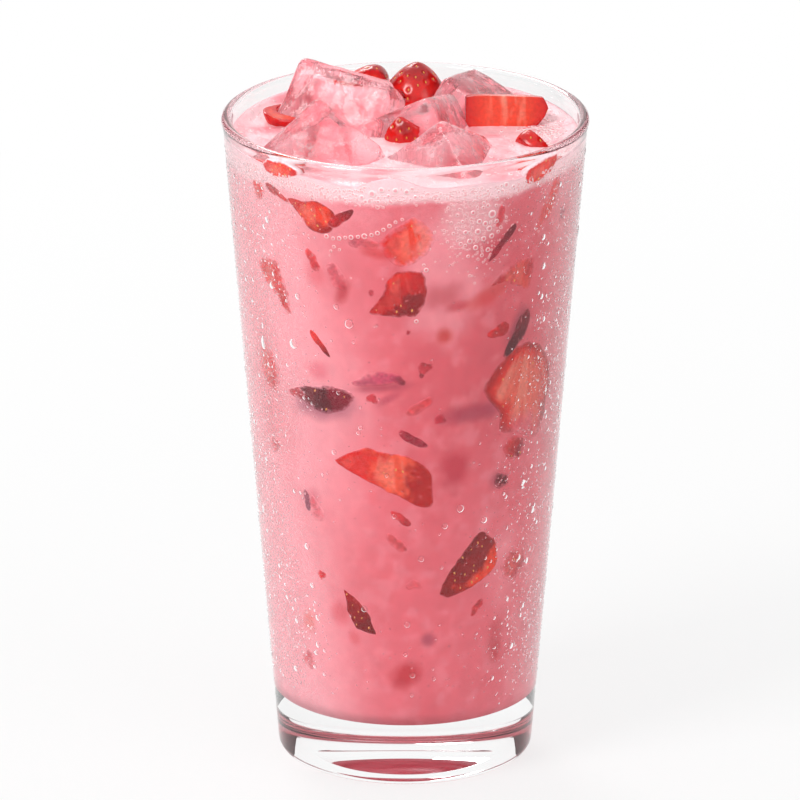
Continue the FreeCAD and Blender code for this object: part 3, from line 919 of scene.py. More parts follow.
# Each row: name, azimuth, height, outline in mm to the right and up from there, colour on the upper left,
# in the middle and on the lower right, colour of the edge and its width, the way the colours run in degrees,
# how soft the edge is in mm, how much milk lies over the piece, how many seeds
CHUNKS = [
    ("seeded_chunk", -31.4, 146.9,
     [(-8.0, 3.2), (-4.4, -0.5), (-1.0, -4.1), (2.2, -4.6), (4.8, -3.0), (6.2, 0.0), (5.4, 1.9), (3.0, 3.3),
      (0.5, 4.1), (-2.7, 3.1), (-5.9, 3.6)],
     "#d01410", "#ee3a1c", "#a80810", "#8c0612", 0.9, -50, 0.35, 0.0, 14),
    ("pale_flesh", 0.5, 141.6,
     [(1.2, 6.5), (-4.4, 2.4), (-6.2, 0.0), (-4.2, -3.6), (-2.1, -5.5), (0.9, -5.0), (4.2, -2.6),
      (6.2, 1.0),
      (4.0, 5.2)],
     "#dc1410", "#ee3c22", "#f07a72", "#e02a24", 0.6, -8, 0.9, 0.0, 2),
    ("dark_chunk", -2.3, 128.9,
     [(-0.7, 5.6), (-2.9, 2.9), (-4.0, -0.6), (-7.6, -5.4), (-1.4, -5.9), (3.9, -6.0), (6.0, -3.1),
      (6.8, 0.5),
      (6.0, 5.4), (2.8, 6.0)],
     "#e01a10", "#c40810", "#8c0410", "#980812", 1.1, -60, 0.45, 0.0, 7),
    ("shadowed_wedge", 42.5, 131.3,
     [(4.6, 2.6), (3.4, -5.4), (0.8, -3.8), (-4.2, -1.6), (-8.7, -2.4), (-5.4, 0.6), (-1.0, 2.6)],
     "#b8101c", "#dc4436", "#b81420", "#a00c1c", 0.9, 0, 0.9, 0.15, 2),
    ("large_slice", 47.2, 101.5,
     [(-12.2, 1.4), (-9.0, 5.2), (-5.6, 9.2), (-2.2, 10.6), (2.0, 10.8), (7.0, 7.4), (10.2, 2.9),
      (11.6, -2.5),
      (10.2, -7.4), (9.2, -12.0), (7.0, -16.0), (3.2, -13.5), (-1.2, -12.2), (-6.6, -11.0), (-6.4, -5.6),
      (-9.6, -1.9)],
     "#e8645a", "#ea8478", "#cc1018", "#b8000c", 3.4, 14, 0.5, 0.0, 4),
    ("long_wedge", -4.9, 81.8,
     [(-15.0, 2.8), (-10.2, 5.3), (-5.5, 7.6), (-4.2, 6.6), (3.9, 4.9), (6.3, 3.9), (9.4, 0.8), (9.7, -8.3),
      (7.0, -8.6), (-1.4, -3.9), (-9.0, -0.3), (-13.1, 1.6)],
     "#dc0c0c", "#f2583c", "#b40608", "#c4080e", 0.9, -12, 0.4, 0.0, 5),
    ("narrow_sliver", -20.0, 45.4,
     [(-3.8, 6.0), (0.5, 2.8), (2.6, 0.0), (4.6, -6.0), (-0.5, -4.7), (-2.8, 0.0), (-3.3, 4.3)],
     "#a80412", "#90000c", "#7a020c", "#8c0612", 0.7, -60, 0.3, 0.0, 9),
    ("skin_wedge", 28.5, 57.6,
     [(2.1, 8.7), (6.5, 4.0), (6.9, -1.3), (4.7, -4.3), (0.3, -6.3), (-6.2, -8.7), (-8.7, -7.4),
      (-5.9, -1.4),
      (-3.0, 3.3), (0.5, 7.3)],
     "#7a030c", "#960a12", "#f23c1e", "#a00814", 0.7, -38, 0.35, 0.0, 18),
    ("misted_strip", -51.5, 126.3,
     [(-5.2, 4.2), (-2.4, 6.4), (1.6, 6.2), (3.0, 2.8), (4.4, -1.6), (5.2, -6.2), (3.2, -5.6), (0.2, -1.6),
      (-3.6, 0.8)],
     "#e0000e", "#e40412", "#d0000e", "#d80416", 0.8, -60, 1.0, 0.0, 0),
    ("misted_blot", -58.0, 103.5,
     [(-2.6, 5.0), (1.6, 4.6), (3.8, 0.0), (2.4, -5.0), (-1.6, -4.2), (-3.8, 0.4)],
     "#e0041c", "#e00820", "#d40018", "#dc1028", 0.8, -60, 1.3, 0.08, 0),
    ("dark_long_piece", -31.5, 99.9,
     [(-8.2, 0.9), (-4.4, 2.5), (0.4, 3.3), (5.4, 3.5), (8.2, 1.8), (6.0, -1.6), (0.6, -3.6), (-4.6, -2.2)],
     "#7c0820", "#5c0518", "#860c28", "#94304c", 0.9, 0, 0.7, 0.0, 3),
    ("red_cluster", 45.3, 85.5,
     [(-3.4, 0.6), (-1.0, 2.6), (2.0, 2.4), (3.4, 0.2), (2.0, -2.6), (-1.6, -2.4)],
     "#cc1018", "#b40814", "#8c0820", "#b40c1c", 0.6, -40, 0.8, 0.08, 2),
    ("right_low_piece", 48.8, 54.5,
     [(-3.6, 1.2), (-0.6, 3.9), (3.2, 3.0), (4.2, -0.6), (1.4, -3.9), (-2.2, -2.8)],
     "#cc1c24", "#d43c3c", "#b4101e", "#bc1824", 0.7, -40, 1.0, 0.2, 1),
    ("rim_scrap", -56.0, 149.4,
     [(-1.6, 2.2), (0.8, 2.6), (2.2, 0.4), (1.2, -2.5), (-1.0, -1.8), (-2.0, 0.4)],
     "#e80016", "#e40014", "#dc0012", "#e0041a", 0.5, -60, 0.8, 0.0, 0),
    ("left_slice_side", -44.5, 156.9,
     [(-5.6, 0.2), (-4.0, 1.7), (1.8, 1.9), (5.4, 1.0), (5.8, -0.4), (2.4, -1.9), (-2.2, -2.3),
      (-5.0, -1.5)],
     "#e61410", "#f03a1c", "#d80a0c", "#c0040a", 0.7, -20, 0.4, 0.0, 6),
    ("right_slice_side", 50.0, 156.0,
     [(-5.8, -1.4), (-5.0, 0.9), (0.4, 2.5), (5.2, 3.0), (6.0, 1.4), (3.6, -1.6), (-1.0, -2.8),
      (-4.4, -2.9)],
     "#e61410", "#ec2c18", "#d40a0e", "#b8040a", 0.7, -20, 0.4, 0.0, 7),
    ("back_chunk", 138.0, 128.0,
     [(-6.2, 2.0), (-2.4, 4.6), (3.4, 4.0), (6.4, 0.4), (3.0, -3.8), (-3.4, -3.2)],
     "#e0301c", "#d82824", "#8c0c18", "#a00c18", 0.9, -30, 0.5, 0.0, 10),
    ("back_slice", -150.0, 104.0,
     [(-7.0, 3.8), (0.6, 6.4), (7.0, 3.0), (7.6, -3.4), (2.0, -7.4), (-4.8, -4.8)],
     "#e8988a", "#e27a6c", "#c41420", "#b00010", 1.6, -30, 0.5, 0.0, 8),
    ("back_wedge", 165.0, 66.0,
     [(-8.2, 3.0), (-1.0, 4.4), (6.4, 0.4), (7.0, -4.8), (0.6, -3.4)],
     "#e01818", "#ee6248", "#8c0408", "#c01018", 0.9, -20, 0.4, 0.0, 8),
    ("side_chunk", 98.0, 88.0,
     [(-4.4, 3.0), (1.8, 4.2), (5.0, 0.0), (2.2, -4.0), (-3.6, -3.0)],
     "#d8281c", "#e04a34", "#900c18", "#a80c18", 0.8, -40, 0.6, 0.05, 7),
    ("side_sliver", -104.0, 132.0,
     [(-4.8, 2.6), (0.0, 1.6), (5.0, -2.4), (3.2, -3.4), (-2.4, -0.8)],
     "#a01428", "#8c0c20", "#80101e", "#901024", 0.6, -30, 0.5, 0.1, 3),
    ("side_low_piece", -126.0, 48.0,
     [(-3.8, 2.2), (1.6, 3.6), (4.4, 0.0), (1.0, -3.6), (-3.4, -2.0)],
     "#d8281c", "#e8604a", "#b01420", "#b81420", 0.8, -40, 0.7, 0.1, 4),
]

# Pieces cut along the berry: where the tip is, colours of skin, flesh and core, where the lower end is lost
SLICES = {
    "large_slice": ((1.5, 10.8), "#98000a", "#dc1c12", "#e45e4c", -5.0, -11.5),
    "back_slice": ((0.6, 6.4), "#a8000c", "#dd2a1e", "#e08a7c", -9.0, -14.0),
}

# Slender bits, each a thin leaf: name, azimuth, height, length, width, rise in degrees, colours along it,
# softness of the edge, milk over it
STRIPS = [
    ("thin_tail", -46.5, 150.6, 8.6, 1.5, -21, "#b00414", "#d00c14", 0.45, 0.0),
    ("upper_stick", -21.8, 147.4, 8.4, 2.3, 36, "#c01420", "#8c0c1c", 0.35, 0.0),
    ("veiled_band", -14.0, 141.6, 8.0, 2.2, -6, "#c8485a", "#d84a4c", 0.8, 0.25),
    ("slant_stick", -32.6, 135.8, 6.8, 2.4, -60, "#e02c30", "#c01828", 0.5, 0.08),
    ("soft_stick", -23.5, 132.2, 7.6, 2.8, -63, "#d04a5a", "#c83c4c", 0.9, 0.25),
    ("dark_stick", 34.2, 139.6, 12.0, 1.7, 49, "#a80c2c", "#70041c", 0.4, 0.0),
    ("red_stick", 32.6, 146.6, 6.2, 1.7, 76, "#d02838", "#d83040", 0.5, 0.15),
    ("orange_stick", 56.5, 147.6, 11.5, 2.6, 70, "#e03420", "#d8201c", 0.9, 0.2),
    ("purple_stick", 64.0, 142.0, 4.6, 2.2, 60, "#8a1c40", "#902040", 0.9, 0.3),
    ("crisp_bit", 34.5, 117.2, 6.6, 3.0, 14, "#cc2028", "#b81420", 0.35, 0.0),
    ("bright_stick", -31.6, 114.2, 8.8, 1.6, -50, "#e82420", "#8c0818", 0.25, 0.0),
    ("red_end", -43.2, 99.8, 5.2, 2.2, -6, "#c01c2c", "#a01428", 0.5, 0.1),
    ("purple_arc", -11.0, 106.4, 11.5, 1.9, 13, "#b03058", "#c03060", 0.9, 0.3),
    ("purple_arc_end", -3.2, 106.6, 4.6, 1.6, -22, "#b83058", "#780c28", 0.5, 0.1),
    ("under_arc", -12.4, 101.3, 3.4, 2.0, -28, "#d83040", "#c02838", 0.4, 0.05),
    ("small_oval", 7.1, 109.6, 3.4, 2.4, 30, "#c02838", "#b02030", 0.4, 0.1),
    ("soft_red_stick", 4.9, 99.9, 7.4, 1.8, 33, "#dc4a50", "#d83840", 0.6, 0.15),
    ("dark_red_stick", 3.2, 91.4, 8.0, 1.9, -32, "#a41c34", "#941630", 0.35, 0.0),
    ("haze_core", 13.0, 96.0, 3.4, 2.0, -10, "#c02038", "#b01c34", 0.5, 0.05),
    ("dark_sliver", 42.8, 115.2, 13.4, 3.4, 58, "#5c0014", "#780018", 0.5, 0.0),
    ("dark_spot", 40.0, 77.4, 4.0, 3.6, 40, "#74081c", "#600414", 0.7, 0.1),
    ("misted_scrap", -58.5, 84.0, 3.6, 3.2, -60, "#cc1c2c", "#c01424", 0.9, 0.25),
    ("low_purple", -41.5, 72.6, 5.8, 1.5, -80, "#80304c", "#783050", 0.5, 0.15),
    ("low_red", -37.0, 70.8, 6.4, 2.2, -68, "#d84858", "#d84858", 0.9, 0.4),
    ("middle_stick", -1.8, 70.7, 6.0, 1.7, -38, "#cc2c34", "#b81c28", 0.35, 0.05),
    ("middle_soft_stick", -3.2, 64.4, 6.6, 1.8, -46, "#d84a50", "#d04048", 0.6, 0.2),
    ("bright_bit", -36.2, 53.7, 2.8, 2.4, 20, "#e83038", "#d02030", 0.35, 0.0),
    ("low_stick", 31.3, 45.6, 5.2, 1.9, 55, "#d03038", "#c02430", 0.4, 0.1),
    ("low_soft_stick", 3.6, 53.0, 4.0, 1.8, 8, "#d8545c", "#d04c54", 0.7, 0.3),
    ("speckled_bit", -46.5, 29.6, 4.2, 3.6, 0, "#d83c48", "#c83040", 0.8, 0.25),
    ("tiny_dot_a", 1.0, 119.2, 1.4, 1.2, 0, "#a82434", "#a82434", 0.25, 0.1),
    ("tiny_dot_b", -11.5, 129.2, 1.6, 1.4, 0, "#b82c3c", "#b82c3c", 0.3, 0.15),
    ("tiny_dot_c", 5.8, 107.8, 1.2, 1.0, 0, "#a02434", "#a02434", 0.25, 0.05),
    ("back_stick_a", 124.0, 140.0, 9.0, 2.2, -48, "#c81c28", "#a01424", 0.5, 0.1),
    ("back_stick_b", -168.0, 136.0, 8.0, 1.8, 40, "#a02440", "#8c1030", 0.5, 0.1),
    ("back_stick_c", 148.0, 46.0, 7.0, 1.9, 60, "#d03038", "#c02430", 0.5, 0.1),
    ("back_stick_d", -132.0, 78.0, 9.0, 1.9, -36, "#a41c34", "#941630", 0.4, 0.05),
    ("back_bit_e", 112.0, 110.0, 3.6, 2.4, 20, "#d82c30", "#c82030", 0.5, 0.1),
    ("back_bit_f", -100.0, 100.0, 3.2, 2.4, -30, "#c02838", "#b02030", 0.5, 0.15),
]


def rounded_outline(corners, count=120, rounds=8):
    """A closed outline through corners, evenly spaced, its corners rounded by averaging neighbours."""
    corners = np.asarray(corners, float)
    around = np.concatenate([corners, corners[:1]])
    length = np.concatenate([[0], np.cumsum(np.linalg.norm(np.diff(around, axis=0), axis=1))])
    at = np.linspace(0, length[-1], count, endpoint=False)
    line = np.stack([np.interp(at, length, around[:, k]) for k in (0, 1)], -1)
    for _ in range(rounds):
        line = (np.roll(line, 1, 0) + 2 * line + np.roll(line, -1, 0)) / 4
    return line


def leaf_outline(length, width, rise, count):
    """The outline of a slender leaf with blunt ends, turned by its rise."""
    t = np.linspace(0, 2 * np.pi, count, endpoint=False)
    u = length / 2 * np.cos(t)
    v = width / 2 * np.sin(t) * (1.15 + 0.30 * np.cos(t + length) + 0.12 * np.sin(3 * t + width))
    c, s = math.cos(math.radians(rise)), math.sin(math.radians(rise))
    return np.stack([u * c - v * s, u * s + v * c], -1)


EDGE_SUNK = 0.35    # how far the edge of a piece against the wall dips into the milk
SUNK_DEPTH = 1.6    # how thick such a piece is behind the wall


def sunk_piece(azimuth, height, line, colour_at, softness, veil, rings, lump):
    """A piece that touches the wall: a closed shell whose front follows the wall a little into the glass and
    whose edge dips back into the milk. Its colour fades into the milk's at the edge, as it does where milk
    comes between a piece and the wall."""
    count = len(line)
    spot = np.stack([line[:, 0], line[:, 1], np.full(count, height)], -1)
    middle = line.mean(0)
    wobble = 0.16 * noise(spot, 1.3, 7) + 0.34 * noise(spot, 3.2, 9)
    line = line + wobble[:, None] * (line - middle) / np.linalg.norm(line - middle, axis=1, keepdims=True)
    share = np.linspace(0, 1, rings + 1)[1:]
    local = middle + share[:, None, None] * (line - middle)
    reach = np.linalg.norm(line - middle, axis=1)
    from_edge = (1 - share)[:, None] * reach * 0.85
    u, v = local[..., 0], local[..., 1]
    z = height + v
    a = azimuth + np.degrees(u / bore_radius(z))
    place = on_wall(a, z)
    body = np.minimum(1, from_edge / 0.5)
    proud = (EDGE_SUNK + FRUIT_PROUD) * body ** 0.5 - EDGE_SUNK
    proud = proud - lump * (0.5 + 0.5 * noise(place, 1.6, 17)) * body
    milk = milk_tint(a, z)
    piece_colour = colour_at(u, v, from_edge, place)
    ragged = 0.5 * noise(place, 0.9, 27) + 0.6 * noise(place, 0.42, 28)
    cover = 1 - (1 - veil) * step(0, 2 * softness, from_edge + softness * ragged)
    colours = mix(piece_colour, milk, cover)
    front = on_wall(a, z, proud)
    back = on_wall(a[::-1], z[::-1], -SUNK_DEPTH)
    centre = azimuth + np.degrees(middle[0] / bore_radius(height)), height + middle[1]
    poles = np.stack([on_wall(*centre, FRUIT_PROUD - lump * 0.5), on_wall(*centre, -SUNK_DEPTH)])
    points = np.concatenate([front.reshape(-1, 3), back.reshape(-1, 3), poles])
    rows = 2 * rings
    faces = [grid_faces(rows, count), cap_faces(np.arange(count), len(points) - 2, turned=True),
             cap_faces(np.arange(count) + (rows - 1) * count, len(points) - 1)]
    all_colours = np.concatenate([
        colours.reshape(-1, 3), colours[::-1].reshape(-1, 3), [colours[0, 0], colours[0, 0]],
    ])
    return points, faces, all_colours


def chunk_colours(row):
    """The colour of a chunk at places in it: three colours one after another, a darker edge, pale streaks."""
    first, middle, last, rim = (tone(h) for h in row[4:8])
    rim_width, turn = row[8], math.radians(row[9])
    size = np.abs(np.array(row[3])).max()
    c, s = math.cos(turn), math.sin(turn)

    def colour_at(u, v, from_edge, place):
        along = (u * c + v * s) / size
        wave = 0.25 * rough(place, 2.6, 3, 37)
        colour = mix(first, middle, step(-0.55, -0.05, along + wave))
        colour = mix(colour, last, step(0.1, 0.5, along + wave))
        fan = np.arctan2(u, 1.3 * size - v) * 1.3 * size
        streaks = noise(np.stack([fan, 0.10 * v, 0 * u], -1), 1.3, 57)
        paleness = np.clip((colour[..., :1] - 0.45) * 1.6, 0, 1)[..., 0]
        pale_fibre = paleness * step(0.0, 0.7, streaks) * step(0.6, 2.6, from_edge)
        colour = mix(colour, tone("#f3a898"), 0.36 * pale_fibre)
        colour = mix(colour, tone("#dc2a24"), 0.3 * paleness * step(0.1, 0.9, -streaks))
        grain = rough(place, 0.7, 2, 67)
        colour = colour * (1 + (0.18 - 0.12 * paleness) * grain)[..., None]
        glint = step(0.62, 0.85, noise(place, 0.55, 97)) * (1 - paleness)
        colour = mix(colour, tone("#f0787c"), 0.5 * glint)
        return mix(rim, colour, step(0.2, rim_width, from_edge + 0.3 * grain))

    return colour_at


def slice_colours(tip, rim, flesh, core, gone_from, gone_to):
    """The colours of a cut along a strawberry: deep red skin, bright flesh under it, a salmon core with pale
    fibres that fan from the tip, and a lower end whose middle goes into the milk."""
    rim, flesh, core = tone(rim), tone(flesh), tone(core)

    def colour_at(u, v, from_edge, place):
        fan = np.arctan2(u - tip[0], tip[1] + 5.0 - v)
        fibre = noise(np.stack([26 * fan, 0.10 * v, 0 * u], -1), 1.3, 57)
        depth = from_edge + 0.5 * rough(place, 1.6, 2, 37)
        colour = mix(rim, 0.5 * (rim + flesh), step(0.4, 1.3, depth))
        colour = mix(colour, flesh, step(1.0, 2.6, depth))
        colour = mix(colour, core, step(2.0, 4.6, depth + 1.3 * fibre))
        colour = mix(colour, tone("#f08f7c"), 0.6 * step(0.05, 0.6, fibre) * step(1.6, 4.0, depth))
        colour = mix(colour, rim, 0.45 * step(0.1, 0.7, -fibre) * step(4.6, 1.6, depth))
        colour = colour * (1 + 0.07 * rough(place, 0.8, 2, 67))[..., None]
        a, z = np.degrees(np.arctan2(place[..., 0], -place[..., 1])), place[..., 2]
        gone = step(gone_from, gone_to, v + 1.2 * rough(place, 2.2, 2, 87))
        gone = gone * step(5.2, 2.4, np.abs(u - tip[0] + 0.5))
        return mix(colour, milk_tint(a, z), np.maximum(gone, 0.55 * step(gone_from - 1, gone_to - 3, v)))

    return colour_at


def strip_colours(start, end, length, rise):
    """The colour along a strip, a little lighter and darker by turns."""
    c, s = math.cos(math.radians(rise)), math.sin(math.radians(rise))

    def colour_at(u, v, from_edge, place):
        along = (u * c + v * s) / length + 0.5
        colour = mix(tone(start), tone(end), step(0.2, 0.9, along))
        colour = colour * (1 + 0.30 * rough(place, 0.8, 2, 77))[..., None]
        return mix(colour, tone("#f08088"), 0.4 * step(0.55, 0.85, noise(place, 0.6, 99)))

    return colour_at


def seeds_inside(line, seeds, generator):
    """Up to 0.7 of a number of places inside an outline, at least 1.3 mm apart."""
    spots = []
    for _ in range(60 * seeds):
        share, corner = 0.76 * math.sqrt(generator.random()), line[generator.integers(len(line))]
        spot = line.mean(0) + share * (corner - line.mean(0))
        if len(spots) < 0.7 * seeds and all(math.dist(spot, other) > 1.3 for other in spots):
            spots.append(spot)
    return spots


def make_sunk_pieces():
    """All strawberry pieces that show through the wall."""
    shared = berry_material("strawberry behind glass", 0.0)
    generator = np.random.default_rng(11)
    seed_places = []
    for row in CHUNKS:
        name, azimuth, height, corners = row[:4]
        softness, veil, seeds = row[10:13]
        line = rounded_outline(corners)
        line = line * (1 + softness / np.linalg.norm(line, axis=1, keepdims=True))
        colour_at = slice_colours(*SLICES[name]) if name in SLICES else chunk_colours(row)
        shell = sunk_piece(azimuth, height, line, colour_at, softness, veil, 28, 0.10)
        piece = mesh_object(name, *shell)
        piece.data.materials.append(shared)
        belongs(piece, "strawberry")
        spots = seeds_inside(line, seeds, generator)
        if spots:
            u, v = np.array(spots).T
            seed_places.append((azimuth + np.degrees(u / bore_radius(height + v)), height + v))
    for name, azimuth, height, length, width, rise, start, end, softness, veil in STRIPS:
        line = leaf_outline(length + softness, width + 1.6 * softness, rise, 64)
        colour_at = strip_colours(start, end, length, rise)
        piece = mesh_object(name, *sunk_piece(azimuth, height, line, colour_at, softness, veil, 14, 0.05))
        piece.data.materials.append(shared)
        belongs(piece, "strawberry")
    a, z = np.concatenate(seed_places, axis=1)
    places = on_wall(a, z, FRUIT_PROUD - 0.05)
    out = on_wall(a, z, 1.0) - on_wall(a, z)
    along = np.stack([0.5 * generator.standard_normal(len(a)), 0 * a, -np.ones(len(a))], -1)
    shape, faces = seed_shape()
    shape = shape * np.array([0.42, 0.42, 0.4])
    points, faces = copies(shape, faces, places, axes_along(out, along), generator.uniform(0.6, 1.25, len(a)))
    grains = mesh_object("sunk_seeds", points, [faces])
    grains.data.materials.append(seed_material())
    belongs(grains, "strawberry")


# ---------------------------------------------------------------- bubbles

# Bubbles against the wall that are large enough to tell apart: azimuth, height, diameter
WALL_BUBBLES = [
    (29.6, 147.6, 2.3), (27.2, 145.4, 1.6), (25.0, 146.2, 1.5), (24.6, 143.6, 1.7), (28.8, 144.0, 1.6),
    (24.0, 139.6, 1.5), (29.8, 142.0, 1.5), (26.8, 141.6, 1.5), (21.8, 141.4, 1.6), (28.6, 138.6, 1.4),
    (31.4, 145.6, 1.3), (22.6, 148.6, 1.3), (20.2, 143.8, 1.3), (18.6, 141.0, 1.1), (19.0, 146.6, 1.1),
    (17.2, 148.4, 1.0), (16.0, 143.8, 1.0), (15.2, 146.6, 0.9), (14.0, 141.8, 0.8), (26.2, 149.6, 1.1),
    (31.0, 149.6, 1.0), (32.2, 142.8, 1.0), (26.4, 137.4, 1.1), (21.4, 137.6, 1.0),
    (-10.8, 154.2, 2.0), (-7.7, 155.3, 1.6), (-3.2, 155.2, 1.6), (0.4, 154.9, 1.6), (-14.2, 153.2, 1.3),
    (-5.4, 153.8, 1.1), (3.2, 153.6, 1.2), (34.4, 154.4, 1.7), (37.4, 153.6, 1.1), (31.6, 153.0, 1.0),
    (7.0, 134.9, 1.3), (6.2, 136.2, 0.9), (3.8, 121.8, 1.2),
    (-27.0, 142.2, 1.3), (-24.6, 141.9, 1.1), (-22.4, 142.1, 1.3), (-20.2, 142.5, 1.0), (-18.2, 142.7, 1.4),
    (-15.8, 143.0, 1.1), (-13.6, 143.3, 1.6), (-11.2, 143.7, 1.1), (-9.2, 144.3, 1.3), (-7.2, 145.2, 1.1),
    (-5.2, 146.2, 1.2), (-3.2, 147.2, 1.0), (-1.0, 147.9, 0.9),
    (-24.4, 139.8, 1.0), (-22.4, 139.2, 0.8), (-25.6, 138.6, 0.8),
    (130.0, 149.0, 1.6), (133.0, 150.2, 1.3), (136.5, 148.6, 1.5), (-122.0, 150.0, 1.6), (-118.0, 149.0, 1.2),
]


def bubble_patch(columns=14):
    """Local shape of a bubble against glass: a flat lens on four rings, with the number of each ring's
    colour: a pink middle, a bright rim of painted highlight and a thin dark edge of painted shade."""
    t = np.linspace(0, 2 * np.pi, columns, endpoint=False)
    rings = np.array([0.40, 0.72, 0.86, 1.0])
    lift = np.array([1.0, 1.0, 0.85, -1.6])
    u = rings[:, None] * np.cos(t)
    v = rings[:, None] * np.sin(t)
    w = np.broadcast_to(lift[:, None], u.shape)
    shape = np.stack([u, v, w], -1).reshape(-1, 3)
    shape = np.concatenate([shape, [[0, 0, 1.0], [0, 0, -1.6]]])
    tris = np.concatenate([
        halves(grid_faces(4, columns)),
        cap_faces(np.arange(columns), len(shape) - 2, turned=True),
        cap_faces(np.arange(columns) + 3 * columns, len(shape) - 1),
    ])
    return shape, tris, np.concatenate([np.repeat([0, 1, 2, 3], columns), [0, 3]])


def place_bubbles(name, azimuth, height, diameter, proud, columns=14):
    """Many bubbles against the wall as one mesh."""
    shape, tris, shades = bubble_patch(columns)
    radius = diameter[:, None] / 2
    u = shape[None, :, 0] * radius
    v = shape[None, :, 1] * radius
    z = height[:, None] + v
    a = azimuth[:, None] + np.degrees(u / bore_radius(z))
    depth = np.where(shape[None, :, 2] > 0, proud * shape[None, :, 2], -0.35)
    points = on_wall(a, z, depth)
    milk = milk_tint(a, z)
    # Painted highlight on the two bright rings and painted shade on the dark outer ring
    palette = [mix(milk, tone("#e86878"), 0.5), mix(milk, tone("#fff2f1"), 0.75),
               mix(milk, tone("#fff6f5"), 0.85), mix(milk, tone("#b8405a"), 0.6)]
    colours = np.select([(shades == k)[None, :, None] for k in range(4)], palette)
    piece = mesh_object(name, points, [repeated(tris, len(diameter), len(shape))], colours)
    piece.data.materials.append(drink_material(name + " film", 0.3, 1200.0, 0.0))
    belongs(piece, "drink")
    return piece


def place_top_bubbles(ice_triangles):
    """Bubbles on the froth: thick along the wall and beside the fruit at the right, sparse elsewhere."""
    generator = np.random.default_rng(29)
    count, beside_fruit = 5200, slice(0, 420)
    r = bore_radius(LEVEL) * np.sqrt(generator.random(count)) - 0.4
    a = generator.uniform(-np.pi, np.pi, count)
    x, y = r * np.sin(a), -r * np.cos(a)
    x[beside_fruit] = generator.normal(32.5, 2.6, beside_fruit.stop)
    y[beside_fruit] = generator.normal(1.0, 4.5, beside_fruit.stop)
    d = generator.uniform(0.35, 0.9, count) * (0.7 + 0.9 * generator.random(count) ** 4)
    d[beside_fruit] *= 1.35
    near_wall = step(6.0, 0.5, bore_radius(LEVEL) - np.hypot(x, y))
    drift = rough(np.stack([x, y, 0 * x], -1), 9, 2, 151)
    keep = generator.random(count) < 0.05 + 0.35 * near_wall + 0.35 * step(0.1, 0.9, drift)
    keep[beside_fruit] = True
    keep &= np.hypot(x, y) < bore_radius(LEVEL) - 0.5 - d / 2
    for triangles in ice_triangles:
        low, high = column_through(triangles, x, y)
        keep &= ~(high > LEVEL - 0.3)
    x, y, d = x[keep], y[keep], d[keep]
    shape, tris, shades = bubble_patch()
    lift = np.where(shape[None, :, 2] > 0, 0.16 * shape[None, :, 2] * d[:, None] + 0.06, -0.4)
    px = x[:, None] + shape[None, :, 0] * d[:, None] / 2
    py = y[:, None] + shape[None, :, 1] * d[:, None] / 2
    points = np.stack([px, py, froth_height(px, py) + lift], -1)
    # Painted highlight on the two bright rings and painted shade on the dark outer ring
    palette = [tone("#f48c98"), tone("#ffe2e4"), tone("#fff0f0"), tone("#e07886")]
    colours = np.select([(shades == k)[None, :, None] for k in range(4)], palette)
    colours = np.broadcast_to(colours, points.shape)
    piece = mesh_object("top_bubbles", points, [repeated(tris, len(d), len(shape))], colours)
    piece.data.materials.append(drink_material("top bubble film", 0.6, 1200.0, 0.0))
    belongs(piece, "drink")


def clear_of(azimuth, height, large):
    """Which places on the wall lie clear of the large bubbles."""
    room = large[:, 2] / 2 + 0.35
    beside = np.abs(arc_gap(azimuth[:, None], large[None, :, 0])) * 0.73 < room
    return ~(beside & (np.abs(height[:, None] - large[None, :, 1]) < room)).any(1)


def make_bubbles():
    """Bubbles behind the wall: the large ones one by one, fine ones strewn through froth and clusters, and a
    close layer of them in the froth under the surface."""
    large = np.array(WALL_BUBBLES)
    place_bubbles("wall_bubbles", large[:, 0], large[:, 1], large[:, 2], BUBBLE_PROUD + 0.1)
    generator = np.random.default_rng(23)
    strewn, gathered = 9000, 900
    count = strewn + gathered
    a = np.concatenate([generator.uniform(-180, 180, strewn), generator.normal(24, 7, gathered)])
    low, high = LEVEL - 24, LEVEL - 0.3
    z = np.concatenate([generator.uniform(low, high, strewn), generator.normal(144, 5, gathered)])
    d = generator.uniform(0.3, 0.8, count) * (0.7 + 0.7 * generator.random(count) ** 3)
    cluster = np.exp(-((arc_gap(a, 25) / 10) ** 2 + ((z - 144) / 8) ** 2))
    chance = 0.5 * foam_share(a, z) + 0.8 * cluster + 0.015
    keep = (generator.random(count) < chance) & (z < LEVEL + froth_edge(a) - 0.3)
    keep = np.flatnonzero(keep & clear_of(a, z, large))[-1500:]
    place_bubbles("fine_bubbles", a[keep], z[keep], d[keep], BUBBLE_PROUD)
    count = 7000
    a, z = generator.uniform(-180, 180, count), generator.uniform(LEVEL - 6.5, LEVEL - 0.3, count)
    d = generator.uniform(0.45, 0.85, count) * (0.7 + 0.9 * generator.random(count) ** 4)
    keep = (generator.random(count) < 0.75 * foam_share(a, z)) & (z < LEVEL + froth_edge(a) - 0.3)
    keep = np.flatnonzero(keep & clear_of(a, z, large))[:3000]
    place_bubbles("froth_bubbles", a[keep], z[keep], d[keep], BUBBLE_PROUD, columns=8)


# ---------------------------------------------------------------- condensation

